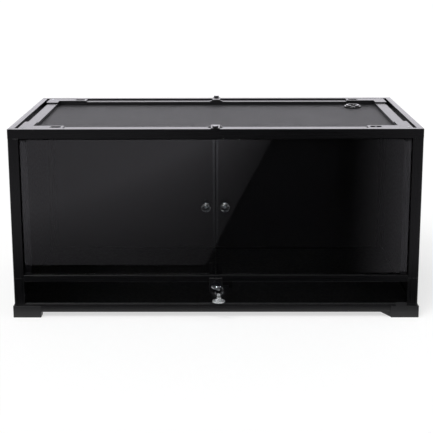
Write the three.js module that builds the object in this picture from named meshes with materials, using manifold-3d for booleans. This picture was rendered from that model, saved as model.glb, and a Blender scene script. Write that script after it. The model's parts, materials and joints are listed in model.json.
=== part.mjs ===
// A front-opening glass terrarium cabinet. A black frame of mitred rails and corner posts stands on
// four feet and holds opaque side and back panels. Two glass doors hang over a fixed lower pane with a
// cam lock, and a mesh lid with cable ports lifts out of the top frame.
//
// Millimetres, +Z up, +X to the right, and the front faces -Y. While it is built, the front of the
// frame lies in the plane Y = 0 and the feet stand on Z = 0. The finished group is then moved along Y,
// so that the origin is under the middle of the whole object.

import * as THREE from "three";
import { mergeVertices } from "three/addons/utils/BufferGeometryUtils.js";
import Module from "manifold-3d";

const wasm = await Module();
wasm.setup();

// ---------------------------------------------------------------- driving dimensions

// Whole frame, without feet and knobs.
const WIDTH = 900;
const DEPTH = 450;
const HEIGHT = 428;

// Clearance between two pieces that meet.
const PLAY = 0.3;

// Rails of the top frame: an upright wall with a ledge inside that carries the lid.
const WALL = 13;
const TOP_RAIL_HEIGHT = 21;
const LEDGE_THICKNESS = 5;
const LONG_LEDGE_WIDTH = 6;
const SIDE_LEDGE_WIDTH = 20;

// Rails of the base, with a ledge inside that carries the floor.
const BASE_RAIL_BOTTOM = 12;
const BASE_RAIL_TOP = 30;
const FLOOR_LEDGE_WIDTH = 6;
const FLOOR_LEDGE_THICKNESS = 6;
const FLOOR_THICKNESS = 5;

// Corner posts, in two lengths that meet at a seam.
const POST = 23;
const POST_CORNER_CHAMFER = 1.5;
const POST_GROOVE_DEPTH = 8;
const SEAM_RISE = 8;

// Panels and panes, held in grooves of the rails and posts.
const PANEL_THICKNESS = 5;
const PANE_THICKNESS = 4;
const PANEL_INSET = 4;
const RAIL_GROOVE_DEPTH = 6;

// Sill between the lower pane and the doors.
const SILL_BOTTOM = 83;
const SILL_HEIGHT = 15;

// One foot moulding: a straight arm, an arm that ends in a slanted gusset, and a skirt outside.
const FOOT_ARM = 59;
const FOOT_ARM_WIDTH = 20;
const FOOT_STAND_OUT = 3;
const FOOT_SKIRT_HEIGHT = 27;
const FOOT_TAB_WIDTH = 24;
const FOOT_TAB_START = 25;
const FOOT_TAB_RISE = 8;
const FOOT_GUSSET_LENGTH = 23;
const FOOT_GUSSET_THICKNESS = 10;
const FOOT_GUSSET_SETBACK = 1;

// Doors. Each turns on two pins of its hinge strip.
const DOOR_GAP = 2.4;
const DOOR_TOP_GAP = 2;
const DOOR_BOTTOM_GAP = 2;
const HINGE_OFFSET = 6;
const HINGE_SETBACK = 4.5;
const HINGE_RADIUS = 3.5;
const HINGE_STRIP_WIDTH = 12;
const HINGE_WEB = 0.2;
const PIN_RADIUS = 1.5;
const PIN_LENGTH = 6;
const DOOR_STOP_WIDTH = 16;
const DOOR_STOP_DROP = 7;
const DOOR_STOP_SETBACK = 8.5;

// Clear door knobs and the screws that hold them.
const KNOB_SPACING = 41;
const KNOB_RISE = 4;
const KNOB_RADIUS = 10.5;
const KNOB_LENGTH = 22;
const KNOB_FOOT_RADIUS = 7;
const KNOB_NECK_RADIUS = 5.2;
const SCREW_RADIUS = 2;
const SCREW_BITE = 11;
const SCREW_HEAD_RADIUS = 4;
const SCREW_HEAD_THICKNESS = 2.5;

// Cam lock below the doors.
const LOCK_DROP = 8;
const HOUSING_WIDTH = 28.5;
const HOUSING_HEIGHT = 37;
const HOUSING_TOP_DROP = 5;
const HOUSING_STAND_OUT = 6;
const HOUSING_CHAMFER_WIDTH = 6.5;
const HOUSING_CHAMFER_HEIGHT = 6;
const BARREL_RADIUS = 7.2;
const BARREL_END = 16;
const BEZEL_RADIUS = 10;
const BEZEL_THICKNESS = 2;
const PLUG_RADIUS = 5;
const STUD_RADIUS = 3;
const STUD_HEAD_RADIUS = 4.5;
const STUD_HEAD_THICKNESS = 2;
const CAM_THICKNESS = 2;
const CAM_REACH = 37;
const CAM_ARM_WIDTH = 10;
const CAM_HEAD_WIDTH = 24;
const CAM_HEAD_LENGTH = 8;

// Door catches, which the turned cam holds back.
const CATCH_WIDTH = 12;
const CATCH_EDGE_GAP = 0.8;
const CATCH_THICKNESS = 1.5;
const CATCH_PLATE_HEIGHT = 24.5;
const CATCH_CAM_PLAY = 1.5;

// Key, its split ring and the bell-shaped fob.
const KEY_TILT = THREE.MathUtils.degToRad(20);
const KEY_THICKNESS = 2;
const KEY_BLADE_WIDTH = 7;
const KEY_BLADE_REACH = 22;
const KEY_BOW_WIDTH = 20;
const KEY_BOW_LENGTH = 18;
const KEY_BOW_GAP = 1.4;
const KEY_HOLE_RADIUS = 1.8;
const RING_RADIUS = 9.5;
const RING_WIRE_RADIUS = 0.8;
const RING_HANG_ANGLE = THREE.MathUtils.degToRad(45);
const FOB_NECK_RADIUS = 4.25;
const FOB_TOP_RISE = 3.7;
const FOB_HOLE_RADIUS = 2.1;
const FOB_BELL_RADIUS = 14.25;
const FOB_BELL_HEIGHT = 10.5;
const FOB_NECK_LENGTH = 9;
const FOB_RIM_HEIGHT = 2.5;
const FOB_WALL = 1.8;

// Lid: corner mouldings and bars around a sunk sheet of mesh.
const LID_DROP = 3.5;
const LID_END_INSET = 20.6;
const LID_LONG_PLAY = 1;
const LID_LONG_BAR_WIDTH = 32;
const LID_SIDE_BAR_WIDTH = 24.5;
const LID_SIDE_STEP = 3.9;
const LID_SIDE_STEP_DROP = 6.5;
const LID_CORNER_LONG_ARM = 97;
const LID_CORNER_FRONT_ARM = 85;
const LID_CORNER_BACK_ARM = 60;
const MESH_DROP = 8;
const MESH_THICKNESS = 1.2;
const MESH_EDGE = 6;
const MESH_COLUMNS = 12;
const MESH_ROWS = 6;
const MESH_BAR = 8;

// Cable port in each corner moulding, and its slider.
const PORT_FROM_ARM_END = 18;
const PORT_LENGTH = 25;
const PORT_WIDTH = 17;
const PORT_ROUNDING = 5;
const SLIDER_THICKNESS = 2.4;
const SLIDER_DROP = 4;
const SLIDER_LAP = 1.5;
const SLIDER_TAB_LENGTH = 4;

// Quarter-turn knobs that hold the lid, and the lugs that carry them.
const LUG_WIDTH = 20;
const LUG_SETBACK = 1;
const LUG_FOOT_WIDTH = 31;
const LUG_FOOT_HEIGHT = 2.5;
const LUG_FOOT_LENGTH = 8.5;
const LUG_THICKNESS = 1.4;
const LID_LOCK_RADIUS = 6.3;
const LID_LOCK_HEIGHT = 4.4;
const LID_LOCK_BEVEL = 0.8;
const LID_LOCK_STEM_RADIUS = 1.2;
const TONGUE_LENGTH = 9;
const TONGUE_WIDTH = 2.6;
const TONGUE_THICKNESS = 2.4;
const TONGUE_PLAY = 0.5;
const KEYHOLE_LIP = 3;
const KEYHOLE_POCKET_DEPTH = 5;

// Round cable grommet in the mesh, behind on the right.
const GROMMET_FROM_SIDE = 108;
const GROMMET_FROM_BACK = 88;
const GROMMET_FLANGE_RADIUS = 21;
const GROMMET_FLANGE_THICKNESS = 4;
const GROMMET_BEVEL = 1;
const GROMMET_SLEEVE_RADIUS = 17.5;
const GROMMET_SLEEVE_DROP = 6;
const GROMMET_BORE_RADIUS = 15;
const GROMMET_SEAT_RADIUS = 12.5;
const GROMMET_SEAT_THICKNESS = 2;
const GROMMET_PAD_MARGIN = 4;
const CAP_RISE = 3;
const CAP_RADIUS = 17;
const CAP_RIM_THICKNESS = 2.4;
const CAP_NOTCH_WIDTH = 10;
const CAP_NOTCH_DEPTH = 14;

// Profiles of the knob and of the fob's bell: shares of the radius, and of the length from the front
// or of the height from the rim.
const KNOB_DOME = [
  [0, 0],
  [0.6, 0.03],
  [0.9, 0.15],
  [1, 0.32],
  [0.93, 0.5],
];
const KNOB_WAIST = 0.78;
const KNOB_FOOT = 0.93;
const BELL_FLARE = [
  [0.72, 0.5],
  [0.42, 0.78],
];
const BELL_HOLLOW = [
  [0, 0.5],
  [0.62, 0.36],
];

// Sides of a full circle on large, turned, small and very small round pieces, and segments of a quarter
// turn on the rounded ports.
const LARGE_SIDES = 28;
const TURNED_SIDES = 20;
const SMALL_SIDES = 16;
const PIN_SIDES = 12;
const WIRE_SIDES = 8;
const PORT_SIDES = 4;

// How far a cut runs past a face, and how far two joined shapes run into each other.
const OVERRUN = 1;

// Vertices closer than this become one.
const MERGE_DISTANCE = 1e-3;

// ---------------------------------------------------------------- places worked out from them

const HALF_WIDTH = WIDTH / 2;
const TOP_RAIL_BOTTOM = HEIGHT - TOP_RAIL_HEIGHT;
const GROOVE_INSET = PANEL_INSET - PLAY;
const PANEL_END = POST - POST_GROOVE_DEPTH + PLAY;
const SILL_TOP = SILL_BOTTOM + SILL_HEIGHT;
const SEAM_HEIGHT = SILL_BOTTOM + SEAM_RISE;
const FLOOR_BOTTOM = BASE_RAIL_BOTTOM + FLOOR_LEDGE_THICKNESS + PLAY;
const MITRE_PLAY = PLAY * Math.SQRT1_2;

const HINGE_X = HALF_WIDTH - POST - HINGE_OFFSET;
const DOOR_REACH = HINGE_X - DOOR_GAP / 2;
const DOOR_BOTTOM = SILL_TOP + DOOR_BOTTOM_GAP;
const DOOR_TOP = TOP_RAIL_BOTTOM - DOOR_TOP_GAP;
const DOOR_FACE = PANE_THICKNESS / 2 + PLAY;
const KNOB_X = HINGE_X - KNOB_SPACING / 2;
const KNOB_HEIGHT = (DOOR_BOTTOM + DOOR_TOP) / 2 + KNOB_RISE;

const LOCK_HEIGHT = SILL_BOTTOM - LOCK_DROP;
const HOUSING_TOP = SILL_TOP - HOUSING_TOP_DROP;
const HOUSING_BOTTOM = HOUSING_TOP - HOUSING_HEIGHT;
const PLUG_FRONT = -HOUSING_STAND_OUT - BEZEL_THICKNESS - 2 * PLAY;
const PLUG_SHOULDER = BARREL_END + 4 * PLAY;
const CAM_FRONT = PLUG_SHOULDER + PLAY;
const CAM_BACK = CAM_FRONT + CAM_THICKNESS;
const BOW_FRONT = PLUG_FRONT - KEY_BOW_GAP;
const KEY_RING_Y = BOW_FRONT - KEY_BOW_LENGTH / 2;
const RING_X = RING_RADIUS * Math.sin(RING_HANG_ANGLE);
const RING_Z = LOCK_HEIGHT - RING_RADIUS * Math.cos(RING_HANG_ANGLE);

const LID_BOTTOM = TOP_RAIL_BOTTOM + LEDGE_THICKNESS + PLAY;
const LID_TOP = HEIGHT - LID_DROP;
const LID_CORNER_TOP = HEIGHT - PLAY;
const LID_HALF_LENGTH = HALF_WIDTH - LID_END_INSET;
const LID_FRONT = WALL + LID_LONG_PLAY;
const LID_INNER_X = LID_HALF_LENGTH - LID_SIDE_STEP - LID_SIDE_BAR_WIDTH;
const LID_INNER_Y = LID_FRONT + LID_LONG_BAR_WIDTH;
const MESH_TOP = LID_TOP - MESH_DROP;
const MESH_BOTTOM = MESH_TOP - MESH_THICKNESS;
const LUG_BOTTOM = HEIGHT + PLAY;
const LUG_TOP = LUG_BOTTOM + LUG_THICKNESS;
const GROMMET_X = HALF_WIDTH - GROMMET_FROM_SIDE;
const GROMMET_Y = DEPTH - GROMMET_FROM_BACK;

const FRONT_REACH = KEY_RING_Y - FOB_BELL_RADIUS;
const BACK_REACH = DEPTH + FOOT_STAND_OUT;

// ---------------------------------------------------------------- materials

const finish = (color, roughness, metalness, opacity = 1) =>
  new THREE.MeshStandardMaterial({
    color,
    roughness,
    metalness,
    opacity,
    transparent: opacity < 1,
  });

const FRAME_BLACK = finish(0x17171a, 0.45, 0);
const FOOT_BLACK = finish(0x2c2c30, 0.55, 0);
const PANEL_BLACK = finish(0x0c0c0e, 0.4, 0);
const LID_BLACK = finish(0x242428, 0.4, 0);
const MESH_BLACK = finish(0x38383c, 0.6, 0.4);
const GLOSS_BLACK = finish(0x101012, 0.18, 0);
const DOOR_GLASS = finish(0x30363a, 0.04, 0, 0.35);
const CLEAR_PLASTIC = finish(0xdfe6ea, 0.08, 0, 0.45);
const POLISHED_STEEL = finish(0xc9ccd0, 0.22, 1);
const BLACKENED_STEEL = finish(0x1b1b1e, 0.4, 0.5);

// ---------------------------------------------------------------- outlines and solids

// A closed outline through [a, b] points, with optional holes.
function outline(points, holes = []) {
  const shape = new THREE.Shape(points.map(([a, b]) => new THREE.Vector2(a, b)));
  shape.holes = holes;
  return shape;
}

const rectangle = ([a0, a1], [b0, b1]) =>
  outline([
    [a0, b0],
    [a1, b0],
    [a1, b1],
    [a0, b1],
  ]);

function roundedRectangle([a0, a1], [b0, b1], radius) {
  const shape = new THREE.Shape();
  const arc = (a, b, quarter) =>
    shape.absarc(a, b, radius, (quarter * Math.PI) / 2, ((quarter + 1) * Math.PI) / 2, false);
  arc(a1 - radius, b1 - radius, 0);
  arc(a0 + radius, b1 - radius, 1);
  arc(a0 + radius, b0 + radius, 2);
  arc(a1 - radius, b0 + radius, 3);
  return shape;
}

const disc = (radius, a = 0, b = 0) => new THREE.Shape().absarc(a, b, radius, 0, 2 * Math.PI, false);

// An outline of X and Y, raised between two heights.
function raise(shape, [low, high], sides = SMALL_SIDES) {
  const depth = high - low;
  const body = new THREE.ExtrudeGeometry(shape, { depth, bevelEnabled: false, curveSegments: sides / 2 });
  return body.translate(0, 0, low);
}

// An outline of X and Z, drawn out between two places along Y.
function drawAlongY(shape, [near, far], sides = SMALL_SIDES) {
  return raise(shape, [-far, -near], sides).rotateX(Math.PI / 2);
}

// An outline of Y and Z, drawn out between two places along X.
function drawAlongX(shape, span, sides = SMALL_SIDES) {
  const turn = new THREE.Matrix4().makeBasis(
    new THREE.Vector3(0, 1, 0),
    new THREE.Vector3(0, 0, 1),
    new THREE.Vector3(1, 0, 0),
  );
  return raise(shape, span, sides).applyMatrix4(turn);
}

const block = (x, y, z) => raise(rectangle(x, y), z);

// A profile of [radius, height] points, turned about Z from bottom to top.
function turnAboutZ(profile, sides) {
  const points = profile.map(([radius, height]) => new THREE.Vector2(radius, height));
  return new THREE.LatheGeometry(points, sides).rotateX(Math.PI / 2);
}

// A profile of [radius, depth] points, turned about Y from front to back.
const turnAboutY = (profile, sides) => turnAboutZ(profile, sides).rotateX(-Math.PI / 2);

const closedProfile = (points) => [...points, points[0]];

function solidOf(geometry) {
  const bare = geometry.clone();
  bare.deleteAttribute("normal");
  bare.deleteAttribute("uv");
  const merged = mergeVertices(bare, MERGE_DISTANCE);
  return new wasm.Manifold(
    new wasm.Mesh({
      numProp: 3,
      vertProperties: merged.attributes.position.array,
      triVerts: new Uint32Array(merged.index.array),
    }),
  );
}

function geometryOf(solid) {
  const { vertProperties, triVerts } = solid.getMesh();
  const indexed = new THREE.BufferGeometry();
  indexed.setAttribute("position", new THREE.BufferAttribute(vertProperties, 3));
  indexed.setIndex(new THREE.BufferAttribute(triVerts, 1));
  const geometry = indexed.toNonIndexed();
  geometry.computeVertexNormals();
  return geometry;
}

const join = (...pieces) => geometryOf(pieces.map(solidOf).reduce((all, piece) => all.add(piece)));

const cut = (body, ...tools) =>
  geometryOf(tools.map(solidOf).reduce((left, tool) => left.subtract(tool), solidOf(body)));

function piece(name, geometry, material) {
  const mesh = new THREE.Mesh(geometry, material);
  mesh.name = name;
  return mesh;
}

// ---------------------------------------------------------------- placing what repeats

// A rail is drawn along X with its outer face on y = 0 and its inside towards +y.
const SIDES = [
  { side: "front", x: 0, y: 0, turn: 0, length: WIDTH },
  { side: "right", x: HALF_WIDTH, y: DEPTH / 2, turn: Math.PI / 2, length: DEPTH },
  { side: "back", x: 0, y: DEPTH, turn: Math.PI, length: WIDTH },
  { side: "left", x: -HALF_WIDTH, y: DEPTH / 2, turn: -Math.PI / 2, length: DEPTH },
];

// A corner piece is drawn with its outer corner at the origin and its inside towards +x and +y.
const CORNERS = [
  { corner: "front_left", right: false, back: false, turn: 0 },
  { corner: "front_right", right: true, back: false, turn: Math.PI / 2 },
  { corner: "back_right", right: true, back: true, turn: Math.PI },
  { corner: "back_left", right: false, back: true, turn: -Math.PI / 2 },
];

function atSide(mesh, { x, y, turn }) {
  mesh.position.set(x, y, 0);
  mesh.rotation.z = turn;
  return mesh;
}

function mirroredToCorner(mesh, { right, back }) {
  mesh.position.set(right ? HALF_WIDTH : -HALF_WIDTH, back ? DEPTH : 0, 0);
  mesh.scale.set(right ? -1 : 1, back ? -1 : 1, 1);
  return mesh;
}

function turnedToCorner(mesh, { right, back, turn }) {
  mesh.position.set(right ? HALF_WIDTH : -HALF_WIDTH, back ? DEPTH : 0, 0);
  mesh.rotation.z = turn;
  return mesh;
}

// The plan of a rail with mitred ends.
function mitredPlan(length, width) {
  const end = length / 2 - MITRE_PLAY;
  return outline([
    [-end, 0],
    [end, 0],
    [end - width, width],
    [width - end, width],
  ]);
}

const grooveFor = (thickness) => [GROOVE_INSET, PANEL_INSET + thickness + PLAY];

// ---------------------------------------------------------------- frame

const PIVOT_HOLE = disc(PIN_RADIUS + PLAY);

function pivotHole(x, z) {
  return raise(PIVOT_HOLE, z, PIN_SIDES).translate(x, HINGE_SETBACK, 0);
}

// The slot and pocket in a rail's top that a lid lock's tongue enters and turns in.
function keyhole() {
  const halfLength = TONGUE_LENGTH / 2 + TONGUE_PLAY;
  const halfWidth = TONGUE_WIDTH / 2 + TONGUE_PLAY;
  const ceiling = HEIGHT - KEYHOLE_LIP;
  const slotSpan = [ceiling - OVERRUN, HEIGHT + OVERRUN];
  const slot = block([-halfLength, halfLength], [-halfWidth, halfWidth], slotSpan);
  const pocket = raise(disc(halfLength), [ceiling - KEYHOLE_POCKET_DEPTH, ceiling]);
  return join(slot, pocket).translate(0, WALL / 2, 0);
}

function topRail({ side, length }) {
  const long = side === "front" || side === "back";
  const ledgeWidth = long ? LONG_LEDGE_WIDTH : SIDE_LEDGE_WIDTH;
  const ledgeEnd = length / 2 - WALL - PLAY - (long ? 0 : LONG_LEDGE_WIDTH);
  const ledgeTop = TOP_RAIL_BOTTOM + LEDGE_THICKNESS;
  const wall = raise(mitredPlan(length, WALL), [TOP_RAIL_BOTTOM, HEIGHT]);
  const ledge = block([-ledgeEnd, ledgeEnd], [WALL, WALL + ledgeWidth], [TOP_RAIL_BOTTOM, ledgeTop]);
  let rail = join(wall, ledge);
  if (side === "front") {
    const stopHalf = DOOR_STOP_WIDTH / 2;
    const stop = block(
      [-stopHalf, stopHalf],
      [DOOR_STOP_SETBACK, WALL],
      [TOP_RAIL_BOTTOM - DOOR_STOP_DROP, TOP_RAIL_BOTTOM],
    );
    const holeSpan = [TOP_RAIL_BOTTOM - OVERRUN, DOOR_TOP + PIN_LENGTH + PLAY];
    rail = cut(join(rail, stop), pivotHole(-HINGE_X, holeSpan), pivotHole(HINGE_X, holeSpan));
  } else {
    const groove = [TOP_RAIL_BOTTOM - OVERRUN, TOP_RAIL_BOTTOM + RAIL_GROOVE_DEPTH];
    rail = cut(rail, block([-length, length], grooveFor(PANEL_THICKNESS), groove));
  }
  return long ? cut(rail, keyhole()) : rail;
}

function baseRail({ side, length }) {
  const ledgeTop = BASE_RAIL_BOTTOM + FLOOR_LEDGE_THICKNESS;
  const wall = raise(mitredPlan(length, WALL), [BASE_RAIL_BOTTOM, BASE_RAIL_TOP]);
  const ledge = raise(mitredPlan(length, WALL + FLOOR_LEDGE_WIDTH), [BASE_RAIL_BOTTOM, ledgeTop]);
  const thickness = side === "front" ? PANE_THICKNESS : PANEL_THICKNESS;
  const groove = [BASE_RAIL_TOP - RAIL_GROOVE_DEPTH, BASE_RAIL_TOP + OVERRUN];
  return cut(join(wall, ledge), block([-length, length], grooveFor(thickness), groove));
}

// A post's section. The groove in its +y face takes a side panel; the one in its +x face takes the
// back panel or the lower pane, or is left out beside a door.
function postSection(acrossThickness) {
  const floor = POST - POST_GROOVE_DEPTH;
  const [sideLow, sideHigh] = grooveFor(PANEL_THICKNESS);
  const points = [
    [POST_CORNER_CHAMFER, 0],
    [POST, 0],
  ];
  if (acrossThickness) {
    const [low, high] = grooveFor(acrossThickness);
    points.push([POST, low], [floor, low], [floor, high], [POST, high]);
  }
  points.push([POST, POST], [sideHigh, POST], [sideHigh, floor], [sideLow, floor], [sideLow, POST]);
  points.push([0, POST], [0, POST_CORNER_CHAMFER]);
  return outline(points);
}

function cornerPost({ back }) {
  const span = [SEAM_HEIGHT + PLAY / 2, TOP_RAIL_BOTTOM - PLAY];
  return raise(postSection(back ? PANEL_THICKNESS : 0), span);
}

function basePost({ back }) {
  const span = [BASE_RAIL_TOP + PLAY, SEAM_HEIGHT - PLAY / 2];
  return raise(postSection(back ? PANEL_THICKNESS : PANE_THICKNESS), span);
}

// The foot moulding of the front left corner: the straight arm runs along +x and the other along +y.
function foot() {
  const seatTop = BASE_RAIL_BOTTOM - PLAY;
  const out = -FOOT_STAND_OUT;
  const seat = outline([
    [out, out],
    [FOOT_ARM, out],
    [FOOT_ARM, FOOT_ARM_WIDTH],
    [FOOT_ARM_WIDTH, FOOT_ARM_WIDTH],
    [FOOT_ARM_WIDTH, FOOT_ARM],
    [out, FOOT_ARM],
  ]);
  const skirt = outline([
    [out, out],
    [FOOT_ARM, out],
    [FOOT_ARM, -PLAY],
    [-PLAY, -PLAY],
    [-PLAY, FOOT_ARM],
    [out, FOOT_ARM],
  ]);
  const tabTop = FOOT_SKIRT_HEIGHT + FOOT_TAB_RISE;
  const tabSpan = [FOOT_TAB_START, FOOT_TAB_START + FOOT_TAB_WIDTH];
  const gusset = outline([
    [FOOT_ARM, 0],
    [FOOT_ARM + FOOT_GUSSET_LENGTH, seatTop],
    [FOOT_ARM, seatTop],
  ]);
  return join(
    raise(seat, [0, seatTop]),
    raise(skirt, [seatTop, FOOT_SKIRT_HEIGHT]),
    block([out, -PLAY], tabSpan, [FOOT_SKIRT_HEIGHT, tabTop]),
    drawAlongX(gusset, [FOOT_GUSSET_SETBACK, FOOT_GUSSET_SETBACK + FOOT_GUSSET_THICKNESS]),
  );
}

const groovedBottom = BASE_RAIL_TOP - RAIL_GROOVE_DEPTH + PLAY;
const groovedTop = TOP_RAIL_BOTTOM + RAIL_GROOVE_DEPTH - PLAY;

function floorPanel() {
  const x = HALF_WIDTH - WALL - PLAY;
  return block([-x, x], [WALL + PLAY, DEPTH - WALL - PLAY], [FLOOR_BOTTOM, FLOOR_BOTTOM + FLOOR_THICKNESS]);
}

function backPanel() {
  const x = HALF_WIDTH - PANEL_END;
  const outside = DEPTH - PANEL_INSET;
  return block([-x, x], [outside - PANEL_THICKNESS, outside], [groovedBottom, groovedTop]);
}

// The left side panel; the right one is its mirror image.
function sidePanel() {
  const outside = PANEL_INSET - HALF_WIDTH;
  const span = [PANEL_END, DEPTH - PANEL_END];
  return block([outside, outside + PANEL_THICKNESS], span, [groovedBottom, groovedTop]);
}

function lowerFrontGlass() {
  const x = HALF_WIDTH - PANEL_END;
  const top = SILL_BOTTOM + RAIL_GROOVE_DEPTH - PLAY;
  const pane = rectangle([-x, x], [groovedBottom, top]);
  pane.holes = [disc(BARREL_RADIUS + 2 * PLAY, 0, LOCK_HEIGHT)];
  return drawAlongY(pane, [PANEL_INSET, PANEL_INSET + PANE_THICKNESS]);
}

function sillRail() {
  const x = HALF_WIDTH - POST - PLAY;
  const groove = [SILL_BOTTOM - OVERRUN, SILL_BOTTOM + RAIL_GROOVE_DEPTH];
  const holeSpan = [DOOR_BOTTOM - PIN_LENGTH - PLAY, SILL_TOP + OVERRUN];
  return cut(
    block([-x, x], [0, WALL], [SILL_BOTTOM, SILL_TOP]),
    block([-WIDTH, WIDTH], grooveFor(PANE_THICKNESS), groove),
    pivotHole(-HINGE_X, holeSpan),
    pivotHole(HINGE_X, holeSpan),
  );
}

// ---------------------------------------------------------------- lock and key

function lockHousing() {
  const half = HOUSING_WIDTH / 2;
  const flat = half - HOUSING_CHAMFER_WIDTH;
  const shoulder = HOUSING_BOTTOM + HOUSING_CHAMFER_HEIGHT;
  const front = (top) =>
    outline([
      [-flat, HOUSING_BOTTOM],
      [flat, HOUSING_BOTTOM],
      [half, shoulder],
      [half, top],
      [-half, top],
      [-half, shoulder],
    ]);
  const body = join(
    drawAlongY(front(HOUSING_TOP), [-HOUSING_STAND_OUT, -PLAY]),
    drawAlongY(front(SILL_BOTTOM - PLAY), [-PLAY, PANEL_INSET - PLAY]),
  );
  const bore = disc(BARREL_RADIUS + PLAY, 0, LOCK_HEIGHT);
  return cut(body, drawAlongY(bore, [-HOUSING_STAND_OUT - OVERRUN, PANEL_INSET]));
}

function lockBarrel() {
  const face = -HOUSING_STAND_OUT - PLAY;
  const bore = PLUG_RADIUS + PLAY;
  const profile = closedProfile([
    [bore, face - BEZEL_THICKNESS],
    [BEZEL_RADIUS, face - BEZEL_THICKNESS],
    [BEZEL_RADIUS, face],
    [BARREL_RADIUS, face],
    [BARREL_RADIUS, BARREL_END],
    [bore, BARREL_END],
  ]);
  return turnAboutY(profile, SMALL_SIDES).translate(0, 0, LOCK_HEIGHT);
}

// The turning plug, with the keyway in front and a headed stud behind for the cam.
function lockPlug() {
  const headFront = CAM_BACK + PLAY;
  const headBack = headFront + STUD_HEAD_THICKNESS;
  const body = turnAboutY(
    [
      [0, PLUG_FRONT],
      [PLUG_RADIUS, PLUG_FRONT],
      [PLUG_RADIUS, PLUG_SHOULDER],
      [STUD_RADIUS, PLUG_SHOULDER],
      [STUD_RADIUS, headFront],
      [STUD_HEAD_RADIUS, headFront],
      [STUD_HEAD_RADIUS, headBack],
      [0, headBack],
    ],
    SMALL_SIDES,
  );
  const halfWidth = KEY_BLADE_WIDTH / 2 + PLAY;
  const halfThickness = KEY_THICKNESS / 2 + PLAY;
  const keyway = block(
    [-halfWidth, halfWidth],
    [PLUG_FRONT - OVERRUN, BOW_FRONT + KEY_BLADE_REACH + PLAY],
    [-halfThickness, halfThickness],
  ).rotateY(KEY_TILT);
  return cut(body, keyway).translate(0, 0, LOCK_HEIGHT);
}

// The cam at rest lies level behind the pane, with its wide head to the right.
function lockCam() {
  const arm = CAM_ARM_WIDTH / 2;
  const head = CAM_HEAD_WIDTH / 2;
  const neck = CAM_REACH - CAM_HEAD_LENGTH;
  const shape = outline(
    [
      [-arm, -arm],
      [neck, -arm],
      [neck, -head],
      [CAM_REACH, -head],
      [CAM_REACH, head],
      [neck, head],
      [neck, arm],
      [-arm, arm],
    ],
    [disc(STUD_RADIUS + PLAY)],
  );
  return drawAlongY(shape, [CAM_FRONT, CAM_BACK]).translate(0, 0, LOCK_HEIGHT);
}

function key() {
  const bow = new THREE.Shape().absellipse(
    0,
    KEY_RING_Y,
    KEY_BOW_WIDTH / 2,
    KEY_BOW_LENGTH / 2,
    0,
    2 * Math.PI,
    false,
    0,
  );
  bow.holes = [disc(KEY_HOLE_RADIUS, 0, KEY_RING_Y)];
  const halfBlade = KEY_BLADE_WIDTH / 2;
  const halfThickness = KEY_THICKNESS / 2;
  const thickness = [-halfThickness, halfThickness];
  const bladeSpan = [BOW_FRONT - OVERRUN, BOW_FRONT + KEY_BLADE_REACH];
  const blade = block([-halfBlade, halfBlade], bladeSpan, thickness);
  return join(raise(bow, thickness, TURNED_SIDES), blade).rotateY(KEY_TILT).translate(0, 0, LOCK_HEIGHT);
}

function splitRing() {
  const ring = new THREE.TorusGeometry(RING_RADIUS, RING_WIRE_RADIUS, WIRE_SIDES, LARGE_SIDES);
  return ring.rotateX(Math.PI / 2).translate(RING_X, KEY_RING_Y, RING_Z);
}

// A hollow bell under a round neck. The ring passes through a cross hole in the neck.
function keyFob() {
  const wire = RING_Z - RING_RADIUS;
  const wireRise = RING_RADIUS - Math.sqrt(RING_RADIUS ** 2 - FOB_NECK_RADIUS ** 2);
  const holeZ = wire + wireRise + RING_WIRE_RADIUS + PLAY - FOB_HOLE_RADIUS;
  const top = wire + FOB_TOP_RISE;
  const neckEnd = top - FOB_NECK_LENGTH;
  const bottom = neckEnd - FOB_BELL_HEIGHT;
  const innerRim = FOB_BELL_RADIUS - FOB_WALL;
  const shares = (table, radius) => table.map(([r, h]) => [r * radius, bottom + h * FOB_BELL_HEIGHT]);
  const bell = turnAboutZ(
    [
      ...shares(BELL_HOLLOW, innerRim),
      [innerRim, bottom],
      [FOB_BELL_RADIUS, bottom],
      [FOB_BELL_RADIUS, bottom + FOB_RIM_HEIGHT],
      ...shares(BELL_FLARE, FOB_BELL_RADIUS),
      [FOB_NECK_RADIUS, neckEnd],
      [FOB_NECK_RADIUS, top],
      [0, top],
    ],
    TURNED_SIDES,
  );
  const hole = disc(FOB_HOLE_RADIUS, 0, holeZ);
  const crossHole = drawAlongX(hole, [-2 * FOB_NECK_RADIUS, 2 * FOB_NECK_RADIUS], PIN_SIDES);
  return cut(bell, crossHole).translate(RING_X, KEY_RING_Y, 0);
}

// ---------------------------------------------------------------- doors

// A door is drawn as the left one, with its hinge axis on the local Z axis and its pane towards +x.

function hingeStrip() {
  const slot = PANE_THICKNESS / 2 + PLAY;
  const slotFloor = HINGE_RADIUS + HINGE_WEB;
  const section = new THREE.Shape();
  section.moveTo(slotFloor, slot);
  section.lineTo(HINGE_STRIP_WIDTH, slot);
  section.lineTo(HINGE_STRIP_WIDTH, HINGE_RADIUS);
  section.lineTo(0, HINGE_RADIUS);
  section.absarc(0, 0, HINGE_RADIUS, Math.PI / 2, (3 * Math.PI) / 2, false);
  section.lineTo(HINGE_STRIP_WIDTH, -HINGE_RADIUS);
  section.lineTo(HINGE_STRIP_WIDTH, -slot);
  section.lineTo(slotFloor, -slot);
  const pin = disc(PIN_RADIUS);
  return join(
    raise(section, [DOOR_BOTTOM, DOOR_TOP], PIN_SIDES),
    raise(pin, [DOOR_BOTTOM - PIN_LENGTH, DOOR_BOTTOM + OVERRUN], PIN_SIDES),
    raise(pin, [DOOR_TOP - OVERRUN, DOOR_TOP + PIN_LENGTH], PIN_SIDES),
  );
}

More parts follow.
